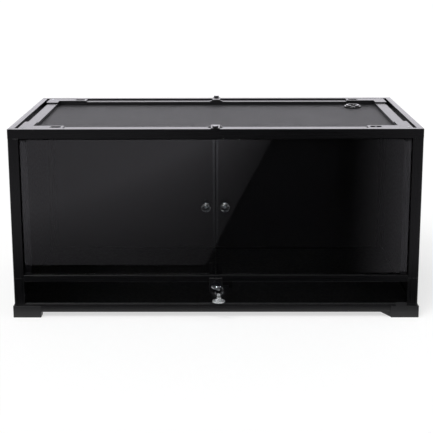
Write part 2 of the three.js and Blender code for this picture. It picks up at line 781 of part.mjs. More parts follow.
function doorGlass() {
  const half = PANE_THICKNESS / 2;
  const edge = HINGE_RADIUS + HINGE_WEB + PLAY;
  const pane = rectangle([edge, DOOR_REACH], [DOOR_BOTTOM + PLAY, DOOR_TOP - PLAY]);
  pane.holes = [disc(SCREW_RADIUS + PLAY, KNOB_X, KNOB_HEIGHT)];
  return drawAlongY(pane, [-half, half], PIN_SIDES);
}

// The clear knob: a small foot on the pane, a waist and a domed head, with a blind hole for its screw.
function doorKnob() {
  const tip = -DOOR_FACE - KNOB_LENGTH;
  const hole = SCREW_RADIUS + PLAY;
  const profile = [
    ...KNOB_DOME.map(([r, back]) => [r * KNOB_RADIUS, tip + back * KNOB_LENGTH]),
    [KNOB_NECK_RADIUS, tip + KNOB_WAIST * KNOB_LENGTH],
    [KNOB_FOOT_RADIUS, tip + KNOB_FOOT * KNOB_LENGTH],
    [KNOB_FOOT_RADIUS, -DOOR_FACE],
    [hole, -DOOR_FACE],
    [hole, -DOOR_FACE - SCREW_BITE - PLAY],
    [0, -DOOR_FACE - SCREW_BITE - PLAY],
  ];
  return turnAboutY(profile, TURNED_SIDES).translate(KNOB_X, 0, KNOB_HEIGHT);
}

function knobScrew() {
  const profile = [
    [0, -DOOR_FACE - SCREW_BITE],
    [SCREW_RADIUS, -DOOR_FACE - SCREW_BITE],
    [SCREW_RADIUS, DOOR_FACE],
    [SCREW_HEAD_RADIUS, DOOR_FACE],
    [SCREW_HEAD_RADIUS, DOOR_FACE + SCREW_HEAD_THICKNESS],
    [0, DOOR_FACE + SCREW_HEAD_THICKNESS],
  ];
  return turnAboutY(profile, PIN_SIDES).translate(KNOB_X, 0, KNOB_HEIGHT);
}

// A bent plate on the inside of the pane. Its lip hangs behind the place of the turned-up cam.
function doorCatch() {
  const plate = DOOR_FACE + CATCH_THICKNESS;
  const lip = CAM_BACK - HINGE_SETBACK + CATCH_CAM_PLAY;
  const lipBack = lip + CATCH_THICKNESS;
  const bottom = DOOR_BOTTOM + PLAY;
  const top = bottom + CATCH_PLATE_HEIGHT;
  const camTop = LOCK_HEIGHT + Math.hypot(CAM_REACH, CAM_HEAD_WIDTH / 2);
  const leg = camTop + CATCH_CAM_PLAY;
  const section = outline([
    [DOOR_FACE, bottom],
    [plate, bottom],
    [plate, leg],
    [lip, leg],
    [lip, bottom],
    [lipBack, bottom],
    [lipBack, leg + CATCH_THICKNESS],
    [plate, leg + CATCH_THICKNESS],
    [plate, top],
    [DOOR_FACE, top],
  ]);
  const end = DOOR_REACH - CATCH_EDGE_GAP;
  return drawAlongX(section, [end - CATCH_WIDTH, end]);
}

function door(hand) {
  const leaf = new THREE.Group();
  leaf.add(
    piece("hinge_strip_" + hand, hingeStrip(), FRAME_BLACK),
    piece("door_glass_" + hand, doorGlass(), DOOR_GLASS),
    piece("door_knob_" + hand, doorKnob(), CLEAR_PLASTIC),
    piece("knob_screw_" + hand, knobScrew(), POLISHED_STEEL),
    piece("door_catch_" + hand, doorCatch(), BLACKENED_STEEL),
  );
  const side = hand === "left" ? 1 : -1;
  leaf.position.set(-side * HINGE_X, HINGE_SETBACK, 0);
  leaf.scale.x = side;
  return leaf;
}

// ---------------------------------------------------------------- lid

// The room that the sheet of mesh needs in the mouldings and bars around it.
function meshGroove() {
  const x = LID_INNER_X + MESH_EDGE + PLAY;
  const y = LID_INNER_Y - MESH_EDGE - PLAY;
  return block([-x, x], [y, DEPTH - y], [MESH_BOTTOM - PLAY, MESH_TOP + PLAY]);
}

// The sheet of mesh. A coarse grid of openings stands for its fine ones, and a round pad is left whole
// under the grommet's flange.
function lidMesh() {
  const x = LID_INNER_X + MESH_EDGE;
  const y = LID_INNER_Y - MESH_EDGE;
  const through = [MESH_BOTTOM - OVERRUN, MESH_TOP + OVERRUN];
  const cellX = (2 * LID_INNER_X) / MESH_COLUMNS;
  const cellY = (DEPTH - 2 * LID_INNER_Y) / MESH_ROWS;
  const openings = [];
  for (let column = 0; column < MESH_COLUMNS; column += 1) {
    const left = column * cellX - LID_INNER_X + MESH_BAR / 2;
    for (let row = 0; row < MESH_ROWS; row += 1) {
      const near = LID_INNER_Y + row * cellY + MESH_BAR / 2;
      openings.push(block([left, left + cellX - MESH_BAR], [near, near + cellY - MESH_BAR], through));
    }
  }
  const sheet = block([-x, x], [y, DEPTH - y], [MESH_BOTTOM, MESH_TOP]);
  const pad = disc(GROMMET_FLANGE_RADIUS + GROMMET_PAD_MARGIN, GROMMET_X, GROMMET_Y);
  const bore = disc(GROMMET_SLEEVE_RADIUS + PLAY, GROMMET_X, GROMMET_Y);
  const grid = join(cut(sheet, ...openings), raise(pad, [MESH_BOTTOM, MESH_TOP], LARGE_SIDES));
  return cut(grid, raise(bore, through, LARGE_SIDES));
}

const PORT_X = LID_CORNER_LONG_ARM - PORT_FROM_ARM_END - LID_HALF_LENGTH;
const PORT_Y = LID_FRONT + LID_LONG_BAR_WIDTH / 2;
const PORT_END = PORT_LENGTH / 2;
const CHANNEL_TOP = LID_CORNER_TOP - SLIDER_DROP;
const CHANNEL_BOTTOM = CHANNEL_TOP - SLIDER_THICKNESS - 2 * PLAY;
const SLIDER_HALF_WIDTH = PORT_WIDTH / 2 + SLIDER_LAP;
const SLIDER_TRAVEL = PORT_LENGTH - SLIDER_TAB_LENGTH - 2 * PLAY;
const SLIDER_TAIL = SLIDER_TRAVEL + SLIDER_LAP;

// The left front moulding; the mesh groove is cut before it is mirrored to the other corners.
function lidCorner(sideArm) {
  const outerX = -LID_HALF_LENGTH;
  const sideEnd = LID_FRONT + sideArm;
  const plan = outline([
    [outerX, LID_FRONT],
    [outerX + LID_CORNER_LONG_ARM, LID_FRONT],
    [outerX + LID_CORNER_LONG_ARM, LID_INNER_Y],
    [-LID_INNER_X, LID_INNER_Y],
    [-LID_INNER_X, sideEnd],
    [outerX, sideEnd],
  ]);
  const halfPort = PORT_WIDTH / 2;
  const port = raise(
    roundedRectangle(
      [PORT_X - PORT_END, PORT_X + PORT_END],
      [PORT_Y - halfPort, PORT_Y + halfPort],
      PORT_ROUNDING,
    ),
    [LID_BOTTOM - OVERRUN, LID_CORNER_TOP + OVERRUN],
    PORT_SIDES,
  );
  const channelHalf = SLIDER_HALF_WIDTH + PLAY;
  const channel = block(
    [PORT_X - PORT_END - SLIDER_TAIL, PORT_X + PORT_END + PLAY],
    [PORT_Y - channelHalf, PORT_Y + channelHalf],
    [CHANNEL_BOTTOM, CHANNEL_TOP],
  );
  return cut(raise(plan, [LID_BOTTOM, LID_CORNER_TOP]), meshGroove(), port, channel);
}

// A slider pushed outwards, so that its port is open. Its finger tab stands up through the port.
function portSlider(pushedIn) {
  const tabOuter = PORT_X - PORT_END + PLAY + pushedIn;
  const tabInner = tabOuter + SLIDER_TAB_LENGTH;
  const bottom = CHANNEL_BOTTOM + PLAY;
  const top = CHANNEL_TOP - PLAY;
  const halfTab = PORT_WIDTH / 2 - PORT_ROUNDING;
  return join(
    block(
      [tabOuter - SLIDER_TAIL, tabInner],
      [PORT_Y - SLIDER_HALF_WIDTH, PORT_Y + SLIDER_HALF_WIDTH],
      [bottom, top],
    ),
    block([tabOuter, tabInner], [PORT_Y - halfTab, PORT_Y + halfTab], [top, LID_CORNER_TOP]),
  );
}

// The front bar, with the lug that reaches over the frame and carries a lid lock.
function lidLongBar() {
  const end = LID_HALF_LENGTH - LID_CORNER_LONG_ARM - PLAY;
  const lug = LUG_WIDTH / 2;
  const lugFoot = LUG_FOOT_WIDTH / 2;
  const footFront = LID_INNER_Y - LUG_FOOT_LENGTH;
  const body = join(
    block([-end, end], [LID_FRONT, LID_INNER_Y], [LID_BOTTOM, LID_TOP]),
    block([-lug, lug], [LID_FRONT, LID_INNER_Y], [LID_TOP, LUG_TOP]),
    block([-lug, lug], [LUG_SETBACK, LID_FRONT], [LUG_BOTTOM, LUG_TOP]),
    block([-lugFoot, lugFoot], [footFront, LID_INNER_Y], [LID_TOP, LID_TOP + LUG_FOOT_HEIGHT]),
  );
  const stemHole = disc(LID_LOCK_STEM_RADIUS + PLAY, 0, WALL / 2);
  return cut(body, meshGroove(), raise(stemHole, [HEIGHT, LUG_TOP + OVERRUN], PIN_SIDES));
}

// The left bar, with a lower step outside that half fills the gap to the frame.
function lidSideBar() {
  const outer = -LID_HALF_LENGTH;
  const top = outer + LID_SIDE_STEP;
  const stepTop = LID_TOP - LID_SIDE_STEP_DROP;
  const section = outline([
    [outer, LID_BOTTOM],
    [-LID_INNER_X, LID_BOTTOM],
    [-LID_INNER_X, LID_TOP],
    [top, LID_TOP],
    [top, stepTop],
    [outer, stepTop],
  ]);
  const start = LID_FRONT + LID_CORNER_FRONT_ARM + PLAY;
  const end = DEPTH - LID_FRONT - LID_CORNER_BACK_ARM - PLAY;
  return cut(drawAlongY(section, [start, end]), meshGroove());
}

// A quarter-turn knob over the front rail, with its tongue in line with the slot.
function lidLock() {
  const knobBottom = LUG_TOP + PLAY;
  const knobTop = knobBottom + LID_LOCK_HEIGHT;
  const tongueTop = HEIGHT - KEYHOLE_LIP - TONGUE_PLAY;
  const tongueBottom = tongueTop - TONGUE_THICKNESS;
  const knob = turnAboutZ(
    [
      [0, knobBottom],
      [LID_LOCK_RADIUS, knobBottom],
      [LID_LOCK_RADIUS, knobTop - LID_LOCK_BEVEL],
      [LID_LOCK_RADIUS - LID_LOCK_BEVEL, knobTop],
      [0, knobTop],
    ],
    SMALL_SIDES,
  );
  const stem = raise(disc(LID_LOCK_STEM_RADIUS), [tongueBottom, knobBottom + OVERRUN], PIN_SIDES);
  const halfLength = TONGUE_LENGTH / 2;
  const halfWidth = TONGUE_WIDTH / 2;
  const tongue = block([-halfLength, halfLength], [-halfWidth, halfWidth], [tongueBottom, tongueTop]);
  return join(knob, stem, tongue).translate(0, WALL / 2, 0);
}

const GROMMET_TOP = MESH_TOP + PLAY + GROMMET_FLANGE_THICKNESS;
const GROMMET_BOTTOM = MESH_BOTTOM - GROMMET_SLEEVE_DROP;

// A flanged sleeve that hangs in the mesh, with an inner seat for the cap.
function grommetRing() {
  const flangeBottom = MESH_TOP + PLAY;
  const profile = closedProfile([
    [GROMMET_SEAT_RADIUS, GROMMET_BOTTOM],
    [GROMMET_SLEEVE_RADIUS, GROMMET_BOTTOM],
    [GROMMET_SLEEVE_RADIUS, flangeBottom],
    [GROMMET_FLANGE_RADIUS, flangeBottom],
    [GROMMET_FLANGE_RADIUS, GROMMET_TOP - GROMMET_BEVEL],
    [GROMMET_FLANGE_RADIUS - GROMMET_BEVEL, GROMMET_TOP],
    [GROMMET_BORE_RADIUS, GROMMET_TOP],
    [GROMMET_BORE_RADIUS, GROMMET_BOTTOM + GROMMET_SEAT_THICKNESS],
    [GROMMET_SEAT_RADIUS, GROMMET_BOTTOM + GROMMET_SEAT_THICKNESS],
  ]);
  return turnAboutZ(profile, LARGE_SIDES).translate(GROMMET_X, GROMMET_Y, 0);
}

// The cap turns in the ring. A notch in its edge lets a cable through.
function grommetCap() {
  const body = GROMMET_BORE_RADIUS - PLAY;
  const bottom = GROMMET_BOTTOM + GROMMET_SEAT_THICKNESS + PLAY;
  const rimBottom = GROMMET_TOP + PLAY;
  const rimTop = rimBottom + CAP_RIM_THICKNESS;
  const dish = rimTop - CAP_RISE;
  const cap = turnAboutZ(
    [
      [0, bottom],
      [body, bottom],
      [body, rimBottom],
      [CAP_RADIUS, rimBottom],
      [CAP_RADIUS, rimTop - GROMMET_BEVEL],
      [CAP_RADIUS - GROMMET_BEVEL, rimTop],
      [body - CAP_RISE, rimTop],
      [body - 2 * CAP_RISE, dish],
      [0, dish],
    ],
    LARGE_SIDES,
  );
  const half = CAP_NOTCH_WIDTH / 2;
  const notch = block(
    [-half, half],
    [-CAP_RADIUS - OVERRUN, CAP_NOTCH_DEPTH - CAP_RADIUS],
    [bottom - OVERRUN, rimTop + OVERRUN],
  );
  return cut(cap, notch).translate(GROMMET_X, GROMMET_Y, 0);
}

const RESTING_HALF_OPEN = "front_right";

function lid() {
  const group = new THREE.Group();
  for (const place of CORNERS) {
    const sideArm = place.back ? LID_CORNER_BACK_ARM : LID_CORNER_FRONT_ARM;
    const pushedIn = place.corner === RESTING_HALF_OPEN ? SLIDER_TRAVEL / 2 : 0;
    const pair = new THREE.Group();
    pair.add(
      piece("lid_corner_" + place.corner, lidCorner(sideArm), LID_BLACK),
      piece("port_slider_" + place.corner, portSlider(pushedIn), FRAME_BLACK),
    );
    pair.scale.set(place.right ? -1 : 1, place.back ? -1 : 1, 1);
    pair.position.y = place.back ? DEPTH : 0;
    group.add(pair);
  }
  for (const place of SIDES.filter(({ side }) => side === "front" || side === "back")) {
    const pair = new THREE.Group();
    pair.add(
      piece("lid_bar_" + place.side, lidLongBar(), LID_BLACK),
      piece("lid_lock_" + place.side, lidLock(), GLOSS_BLACK),
    );
    group.add(atSide(pair, place));
  }
  const rightBar = piece("lid_bar_right", lidSideBar(), LID_BLACK);
  rightBar.scale.x = -1;
  group.add(
    piece("lid_bar_left", lidSideBar(), LID_BLACK),
    rightBar,
    piece("lid_mesh", lidMesh(), MESH_BLACK),
    piece("grommet_ring", grommetRing(), GLOSS_BLACK),
    piece("grommet_cap", grommetCap(), GLOSS_BLACK),
  );
  return group;
}

// ---------------------------------------------------------------- assembly

function frame() {
  const group = new THREE.Group();
  for (const place of SIDES) {
    group.add(
      atSide(piece("top_rail_" + place.side, topRail(place), FRAME_BLACK), place),
      atSide(piece("base_rail_" + place.side, baseRail(place), FRAME_BLACK), place),
    );
  }
  for (const place of CORNERS) {
    group.add(
      mirroredToCorner(piece("corner_post_" + place.corner, cornerPost(place), FRAME_BLACK), place),
      mirroredToCorner(piece("base_post_" + place.corner, basePost(place), FRAME_BLACK), place),
      turnedToCorner(piece("foot_" + place.corner, foot(), FOOT_BLACK), place),
    );
  }
  const rightPanel = piece("side_panel_right", sidePanel(), PANEL_BLACK);
  rightPanel.scale.x = -1;
  group.add(
    piece("floor_panel", floorPanel(), PANEL_BLACK),
    piece("back_panel", backPanel(), PANEL_BLACK),
    piece("side_panel_left", sidePanel(), PANEL_BLACK),
    rightPanel,
    piece("lower_front_glass", lowerFrontGlass(), DOOR_GLASS),
    piece("sill_rail", sillRail(), FRAME_BLACK),
  );
  return group;
}

function lock() {
  const group = new THREE.Group();
  group.add(
    piece("lock_housing", lockHousing(), FRAME_BLACK),
    piece("lock_barrel", lockBarrel(), POLISHED_STEEL),
    piece("lock_plug", lockPlug(), POLISHED_STEEL),
    piece("lock_cam", lockCam(), BLACKENED_STEEL),
    piece("key", key(), POLISHED_STEEL),
    piece("split_ring", splitRing(), POLISHED_STEEL),
    piece("key_fob", keyFob(), CLEAR_PLASTIC),
  );
  return group;
}

const cabinet = new THREE.Group();
cabinet.add(frame(), lock(), door("left"), door("right"), lid());
cabinet.position.y = -(FRONT_REACH + BACK_REACH) / 2;

export default cabinet;
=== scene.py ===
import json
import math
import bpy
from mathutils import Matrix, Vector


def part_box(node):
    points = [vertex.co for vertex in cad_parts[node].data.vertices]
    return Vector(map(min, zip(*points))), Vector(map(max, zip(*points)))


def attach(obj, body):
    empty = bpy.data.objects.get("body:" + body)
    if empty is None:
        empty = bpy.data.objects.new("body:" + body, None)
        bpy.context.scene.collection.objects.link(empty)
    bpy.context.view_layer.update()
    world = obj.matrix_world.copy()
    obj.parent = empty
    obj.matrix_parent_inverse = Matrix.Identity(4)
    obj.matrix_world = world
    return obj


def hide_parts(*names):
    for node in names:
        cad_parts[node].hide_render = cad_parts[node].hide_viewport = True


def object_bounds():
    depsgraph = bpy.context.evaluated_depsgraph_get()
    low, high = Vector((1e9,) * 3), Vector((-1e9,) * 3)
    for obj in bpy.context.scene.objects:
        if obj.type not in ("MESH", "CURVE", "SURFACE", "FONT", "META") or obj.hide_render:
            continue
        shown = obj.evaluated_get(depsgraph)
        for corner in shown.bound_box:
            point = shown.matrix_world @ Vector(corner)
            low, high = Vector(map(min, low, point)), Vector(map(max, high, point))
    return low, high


bl_info = {
    "name": "Glass Terrarium Cabinet",
    "version": (1, 0, 0),
    "blender": (4, 5, 0),
    "location": "3D View > Sidebar > Terrarium",
    "description": "Models a front-opening glass terrarium cabinet around its packed frame",
    "category": "Object",
}

import bmesh
import bpy
from mathutils import Matrix, Vector

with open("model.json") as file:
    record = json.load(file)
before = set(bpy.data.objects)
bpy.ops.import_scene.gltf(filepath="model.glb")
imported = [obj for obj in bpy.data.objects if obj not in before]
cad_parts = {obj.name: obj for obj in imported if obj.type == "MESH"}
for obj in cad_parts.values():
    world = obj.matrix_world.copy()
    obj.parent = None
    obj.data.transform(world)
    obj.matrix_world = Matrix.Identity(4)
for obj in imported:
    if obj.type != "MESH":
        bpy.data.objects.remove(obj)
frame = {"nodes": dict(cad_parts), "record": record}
CAD_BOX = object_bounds()

MM = 0.001
WELD = 0.002 * MM
PLAY = 0.3 * MM
X, Y, Z = Vector((1, 0, 0)), Vector((0, 1, 0)), Vector((0, 0, 1))

RECORD = frame["record"]
BODY_OF = {node: body for body, nodes in RECORD["behaviour"]["bodies"].items() for node in nodes}

CORNERS = ("front_left", "front_right", "back_right", "back_left")
HANDS = ("left", "right")

FLAT = math.radians(1)
CREASE = math.radians(28)
SMOOTH = math.radians(40)
FULL_TURN = 2 * math.pi


def linear(value):
    """A hex sRGB colour as the linear RGBA that Blender's sockets take."""
    channels = (int(value[i : i + 2], 16) / 255 for i in (1, 3, 5))
    bent = (c / 12.92 if c <= 0.04045 else ((c + 0.055) / 1.055) ** 2.4 for c in channels)
    return (*bent, 1.0)


def length(name, description, millimetres):
    """A length property whose default is given in millimetres."""
    return bpy.props.FloatProperty(
        name=name,
        description=description,
        default=millimetres * MM,
        min=0,
        precision=5,
        subtype="DISTANCE",
        unit="LENGTH",
    )


def colour(name, description, value):
    """A colour property whose default is a hex sRGB colour."""
    return bpy.props.FloatVectorProperty(
        name=name,
        description=description,
        default=linear(value),
        size=4,
        min=0,
        max=1,
        subtype="COLOR",
    )


class TerrariumSizes(bpy.types.PropertyGroup):
    """Sizes that the frame doesn't give: edges, wires and seals."""

    profile_edge: length("Profile edge", "Rounding of the extruded frame profiles", 0.6)
    foot_edge: length("Foot edge", "Rounding of the moulded feet", 1.1)
    panel_edge: length("Panel edge", "Rounding of the opaque panels", 0.4)
    glass_edge: length("Glass edge", "Ground edge of the panes", 0.4)
    metal_edge: length("Metal edge", "Broken edge of the pressed metal pieces", 0.25)
    lid_edge: length("Lid edge", "Rounding of the lid mouldings", 0.7)
    mesh_pitch: length("Mesh pitch", "Distance between two wires of the lid's mesh", 2.0)
    wire: length("Wire", "Width of a coated wire of the lid's mesh", 0.8)
    strip_width: length("Edge strip", "Width of the clear strip on a door's meeting edge", 5.0)
    strip_wall: length("Strip wall", "Wall of the clear edge strip", 0.7)
    bead: length("Seal bead", "Size of the silicone beads", 4.0)


class TerrariumColours(bpy.types.PropertyGroup):
    """Colours of the cabinet's finishes."""

    profile: colour("Profiles", "Extruded frame profiles", "#070709")
    foot: colour("Feet", "Moulded feet", "#0F0F12")
    panel: colour("Panels", "Opaque panels and floor", "#060607")
    lid: colour("Lid", "Mouldings and bars of the lid", "#1A1A1C")
    mesh: colour("Mesh", "Coated wire mesh", "#3A3A3D")
    gloss: colour("Glossy plastic", "Grommet and lid locks", "#0E0E10")
    glass: colour("Glass", "Tint of the panes", "#F1F1F4")
    acrylic: colour("Acrylic", "Clear knobs and fob", "#F4F7F8")
    silicone: colour("Silicone", "Sealing beads", "#101012")
    nickel: colour("Nickel", "Key and ring", "#D4D5DA")
    gunmetal: colour("Black nickel", "Lock face", "#26262A")
    zinc: colour("Zinc", "Screws", "#B4B7BB")
    blackened: colour("Blackened steel", "Cam and door catches", "#121214")


# ---------------------------------------------------------------- finishes


def add_node(tree, kind, settings=None, inputs=None):
    """Adds a node, sets its properties, and fills or links its inputs."""
    node = tree.nodes.new(kind)
    for key, value in (settings or {}).items():
        setattr(node, key, value)
    for key, value in (inputs or {}).items():
        if isinstance(value, bpy.types.NodeSocket):
            tree.links.new(value, node.inputs[key])
        else:
            node.inputs[key].default_value = value
    return node


def finish(name, **sockets):
    """A new material with constants set on its Principled shader, or the one made before."""
    known = bpy.data.materials.get(name)
    if known:
        return known, None, None
    material = bpy.data.materials.new(name)
    material.use_nodes = True
    shader = material.node_tree.nodes["Principled BSDF"]
    for socket, value in sockets.items():
        shader.inputs[socket.replace("_", " ")].default_value = value
    return material, material.node_tree, shader


def grain(tree, shader, size, roughness, depth, stretch=(1, 1, 1)):
    """Lets a noise of one grain size vary the roughness and raise the surface."""
    place = add_node(tree, "ShaderNodeTexCoord")
    inputs = {"Vector": place.outputs["Object"], "Scale": stretch}
    mapping = add_node(tree, "ShaderNodeMapping", inputs=inputs)
    inputs = {"Vector": mapping.outputs["Vector"], "Scale": 1 / size, "Detail": 3.0}
    noise = add_node(tree, "ShaderNodeTexNoise", inputs=inputs)
    # Most of the noise lies between 0.3 and 0.7, which is spread over the range of roughness.
    inputs = {"Value": noise.outputs["Fac"], "From Min": 0.3, "From Max": 0.7}
    inputs.update({"To Min": roughness[0], "To Max": roughness[1]})
    spread = add_node(tree, "ShaderNodeMapRange", inputs=inputs)
    inputs = {"Height": noise.outputs["Fac"], "Strength": 0.6, "Distance": depth}
    bump = add_node(tree, "ShaderNodeBump", inputs=inputs)
    tree.links.new(spread.outputs["Result"], shader.inputs["Roughness"])
    tree.links.new(bump.outputs["Normal"], shader.inputs["Normal"])
    return noise


def mottle(tree, shader, noise, base, share):
    """Lets the same noise shift the colour a little between a darker and a paler tone."""
    tones = add_node(
        tree, "ShaderNodeMix", {"data_type": "RGBA"}, {"Factor": noise.outputs["Fac"]}
    )
    darker = tuple(c * (1 - share) for c in base[:3])
    paler = tuple(min(1, c * (1 + share)) for c in base[:3])
    tones.inputs[6].default_value = (*darker, 1)
    tones.inputs[7].default_value = (*paler, 1)
    tree.links.new(tones.outputs[2], shader.inputs["Base Color"])


def textured(name, size, roughness, depth, tone=None, share=0, stretch=(1, 1, 1), **sockets):
    """A material in which one noise varies the roughness, the relief and, if given, a tone."""
    material, tree, shader = finish(name, **sockets)
    if tree:
        noise = grain(tree, shader, size, roughness, depth, stretch)
        if tone is not None:
            mottle(tree, shader, noise, tone, share)
    return material


def extruded_pvc(colours, along):
    """Rigid PVC, extruded: satin, with faint die lines along the profile."""
    name = "extruded_pvc_along_" + "xyz"[along]
    # Die lines are a few tenths of a millimetre apart; 2 mm lets them show at this size.
    stretch = [1.0, 1.0, 1.0]
    stretch[along] = 0.01
    look = (2 * MM, (0.24, 0.34), 0.02 * MM, colours.profile, 0.12, stretch)
    return textured(name, *look, IOR=1.53)


def moulded_abs(colours):
    """ABS from a spark-eroded mould: matt, with a fine even grain."""
    look = (0.9 * MM, (0.42, 0.58), 0.05 * MM, colours.foot, 0.15)
    return textured("moulded_abs_feet", *look, IOR=1.54)


def foamed_pvc(colours):
    """Foamed PVC board: nearly black, smooth, with a slow orange-peel."""
    look = (7 * MM, (0.34, 0.5), 0.06 * MM, colours.panel, 0.1)
    return textured("foamed_pvc_board", *look, IOR=1.53)


def lid_abs(colours):
    """Satin ABS of the lid mouldings: a light moulded sheen that catches grazing light."""
    look = (1.2 * MM, (0.26, 0.38), 0.03 * MM, colours.lid, 0.12)
    return textured("satin_abs_lid", *look, IOR=1.54)


def coated_wire(colours):
    """Steel wire mesh with a black epoxy coat: soft highlights on each wire."""
    look = (6 * MM, (0.35, 0.5), 0.02 * MM, colours.mesh, 0.15)
    return textured("epoxy_coated_wire", *look, IOR=1.5)


def gloss_nylon(colours):
    """Polished nylon mouldings: deep black with clean highlights."""
    look = (3 * MM, (0.1, 0.2), 0.02 * MM, colours.gloss, 0.1)
    return textured("polished_nylon", *look, IOR=1.53)


def float_glass(colours):
    """Float glass: clear and flat, with a waviness too slow to see but at a reflection's edge."""
    material, tree, shader = finish(
        "float_glass",
        Base_Color=colours.glass,
        Transmission_Weight=1.0,
        IOR=1.52,
        Roughness=0.0,
    )
    if tree:
        place = add_node(tree, "ShaderNodeTexCoord")
        # Drawing leaves waves of some 150 mm, a few tenths of a millimetre high at the most.
        inputs = {"Vector": place.outputs["Object"], "Scale": 1 / (150 * MM), "Detail": 0.0}
        wave = add_node(tree, "ShaderNodeTexNoise", inputs=inputs)
        inputs = {"Height": wave.outputs["Fac"], "Strength": 0.5, "Distance": 0.3 * MM}
        bump = add_node(tree, "ShaderNodeBump", inputs=inputs)
        tree.links.new(bump.outputs["Normal"], shader.inputs["Normal"])
    return material


def clear(name, colours, size, roughness, depth, transmission, ior, stretch=(1, 1, 1)):
    """A clear plastic, tinted as the acrylic."""
    sockets = {"Base_Color": colours.acrylic, "Transmission_Weight": transmission, "IOR": ior}
    return textured(name, size, roughness, depth, stretch=stretch, **sockets)


def clear_acrylic(colours):
    """Polished cast acrylic: water clear, with faint sink marks from the mould."""
    return clear("clear_acrylic", colours, 4 * MM, (0.01, 0.05), 0.03 * MM, 1.0, 1.49)


def scuffed_acrylic(colours):
    """Moulded acrylic, worn by handling: clear with a white haze of fine scratches."""
    return clear("scuffed_acrylic", colours, 3 * MM, (0.04, 0.14), 0.03 * MM, 0.84, 1.49)


def clear_strip(colours):
    """Clear PVC strip, extruded: as clear as the pane, but for faint lines along its length."""
    look = (5 * MM, (0.02, 0.06), 0.01 * MM, 1.0, 1.5, (1, 1, 0.02))
    return clear("clear_pvc_strip", colours, *look)


def silicone(colours):
    """Black sealing silicone, smoothed by a finger: a dull rubbery shine with slow ripples."""
    look = (6 * MM, (0.34, 0.5), 0.1 * MM, colours.silicone, 0.1)
    return textured("black_silicone", *look, IOR=1.42, Specular_IOR_Level=0.2)


def nickel_plate(colours):
    """Bright nickel plate on polished brass: a clean white mirror."""
    look = (1.5 * MM, (0.05, 0.11), 0.01 * MM, colours.nickel, 0.06)
    return textured("bright_nickel_plate", *look, Metallic=1.0)


def black_nickel(colours):
    """Black nickel plate on turned brass: a dark grey metal with a satin turned face."""
    look = (1 * MM, (0.22, 0.34), 0.01 * MM, colours.gunmetal, 0.06)
    return textured("black_nickel_plate", *look, Metallic=1.0)


def tumbled_nickel(colours):
    """Nickel plate on a stamped and tumbled key: white metal with a soft satin shine."""
    look = (1.5 * MM, (0.26, 0.38), 0.02 * MM, colours.nickel, 0.06, (1, 0.2, 1))
    return textured("tumbled_nickel_plate", *look, Metallic=1.0)


def blackened_steel(colours):
    """Pressed steel with a black plating: dark, with a dull waxy shine."""
    look = (2 * MM, (0.3, 0.45), 0.02 * MM, colours.blackened, 0.15)
    return textured("black_plated_steel", *look, IOR=1.6)


def zinc_plate(colours):
    """Zinc-plated steel: grey metal with a cloudy bloom."""
    look = (3 * MM, (0.28, 0.45), 0.02 * MM, colours.zinc, 0.12)
    return textured("zinc_plated_steel", *look, Metallic=1.0)


# ---------------------------------------------------------------- shapes


def merged(*nodes):
    """A bmesh of CAD pieces, with their loose triangles joined into flat faces."""
    shape = bmesh.new()
    for node in nodes:
        shape.from_mesh(frame["nodes"][node].data)
    bmesh.ops.remove_doubles(shape, verts=shape.verts, dist=WELD)
    bmesh.ops.dissolve_limit(shape, angle_limit=FLAT, verts=shape.verts, edges=shape.edges)
    return shape


def rounded(shape, edges, width, segments, clamp):
    """Rounds some edges."""
    bmesh.ops.bevel(
        shape,
        geom=edges,
        offset=width,
        offset_type="OFFSET",
        affect="EDGES",
        segments=segments,
        profile=0.5,
        clamp_overlap=clamp,
        material=-1,
    )
    return shape


def soften(shape, width, longer_than=0.0, segments=2):
    """Rounds the creased edges that are longer than a given length."""
    edges = [
        edge
        for edge in shape.edges
        if edge.is_manifold and edge.calc_face_angle() > CREASE and edge.calc_length() > longer_than
    ]
    return rounded(shape, edges, width, segments, True)


def quarter(start, end, radius_first, steps=6):
    """Points of a quarter ellipse after start, leaving it along the radius or along the axis."""
    (r0, h0), (r1, h1) = start, end
    points = []
    for step in range(1, steps + 1):
        angle = math.pi / 2 * step / steps
        early, late = math.sin(angle), 1 - math.cos(angle)
        across, along = (early, late) if radius_first else (late, early)
        points.append((r0 + (r1 - r0) * across, h0 + (h1 - h0) * along))
    return points


def turned(profile, centre, axis, closed=False, steps=48):
    """Spins a profile of (radius, distance) points about an axis through a centre."""
    shape = bmesh.new()
    across = axis.orthogonal().normalized()
    verts = [shape.verts.new(centre + across * radius + axis * along) for radius, along in profile]
    ends = verts[1:] + verts[:1] if closed else verts[1:]
    edges = [shape.edges.new(pair) for pair in zip(verts, ends)]
    bmesh.ops.spin(
        shape,
        geom=verts + edges,
        cent=centre,
        axis=axis,
        angle=FULL_TURN,
        steps=steps,
        use_merge=True,
    )
    bmesh.ops.remove_doubles(shape, verts=shape.verts, dist=WELD)
    bmesh.ops.recalc_face_normals(shape, faces=shape.faces)
    return shape


def block(low, high, turn=Matrix(), into=None):
    """A box between two corners, then turned."""
    shape = into or bmesh.new()
    low, high = Vector(low), Vector(high)
    size = Matrix.Diagonal((*(high - low), 1))
    bmesh.ops.create_cube(shape, size=1, matrix=turn @ Matrix.Translation((low + high) / 2) @ size)
    return shape


def rod(start, end, radius, sides=24):
    """A round bar between two points."""
    shape = bmesh.new()
    axis = end - start
    turn = Z.rotation_difference(axis).to_matrix().to_4x4()
    bmesh.ops.create_cone(
        shape,
        cap_ends=True,
        segments=sides,
        radius1=radius,
        radius2=radius,
        depth=axis.length,
        matrix=Matrix.Translation((start + end) / 2) @ turn,
    )
    return shape


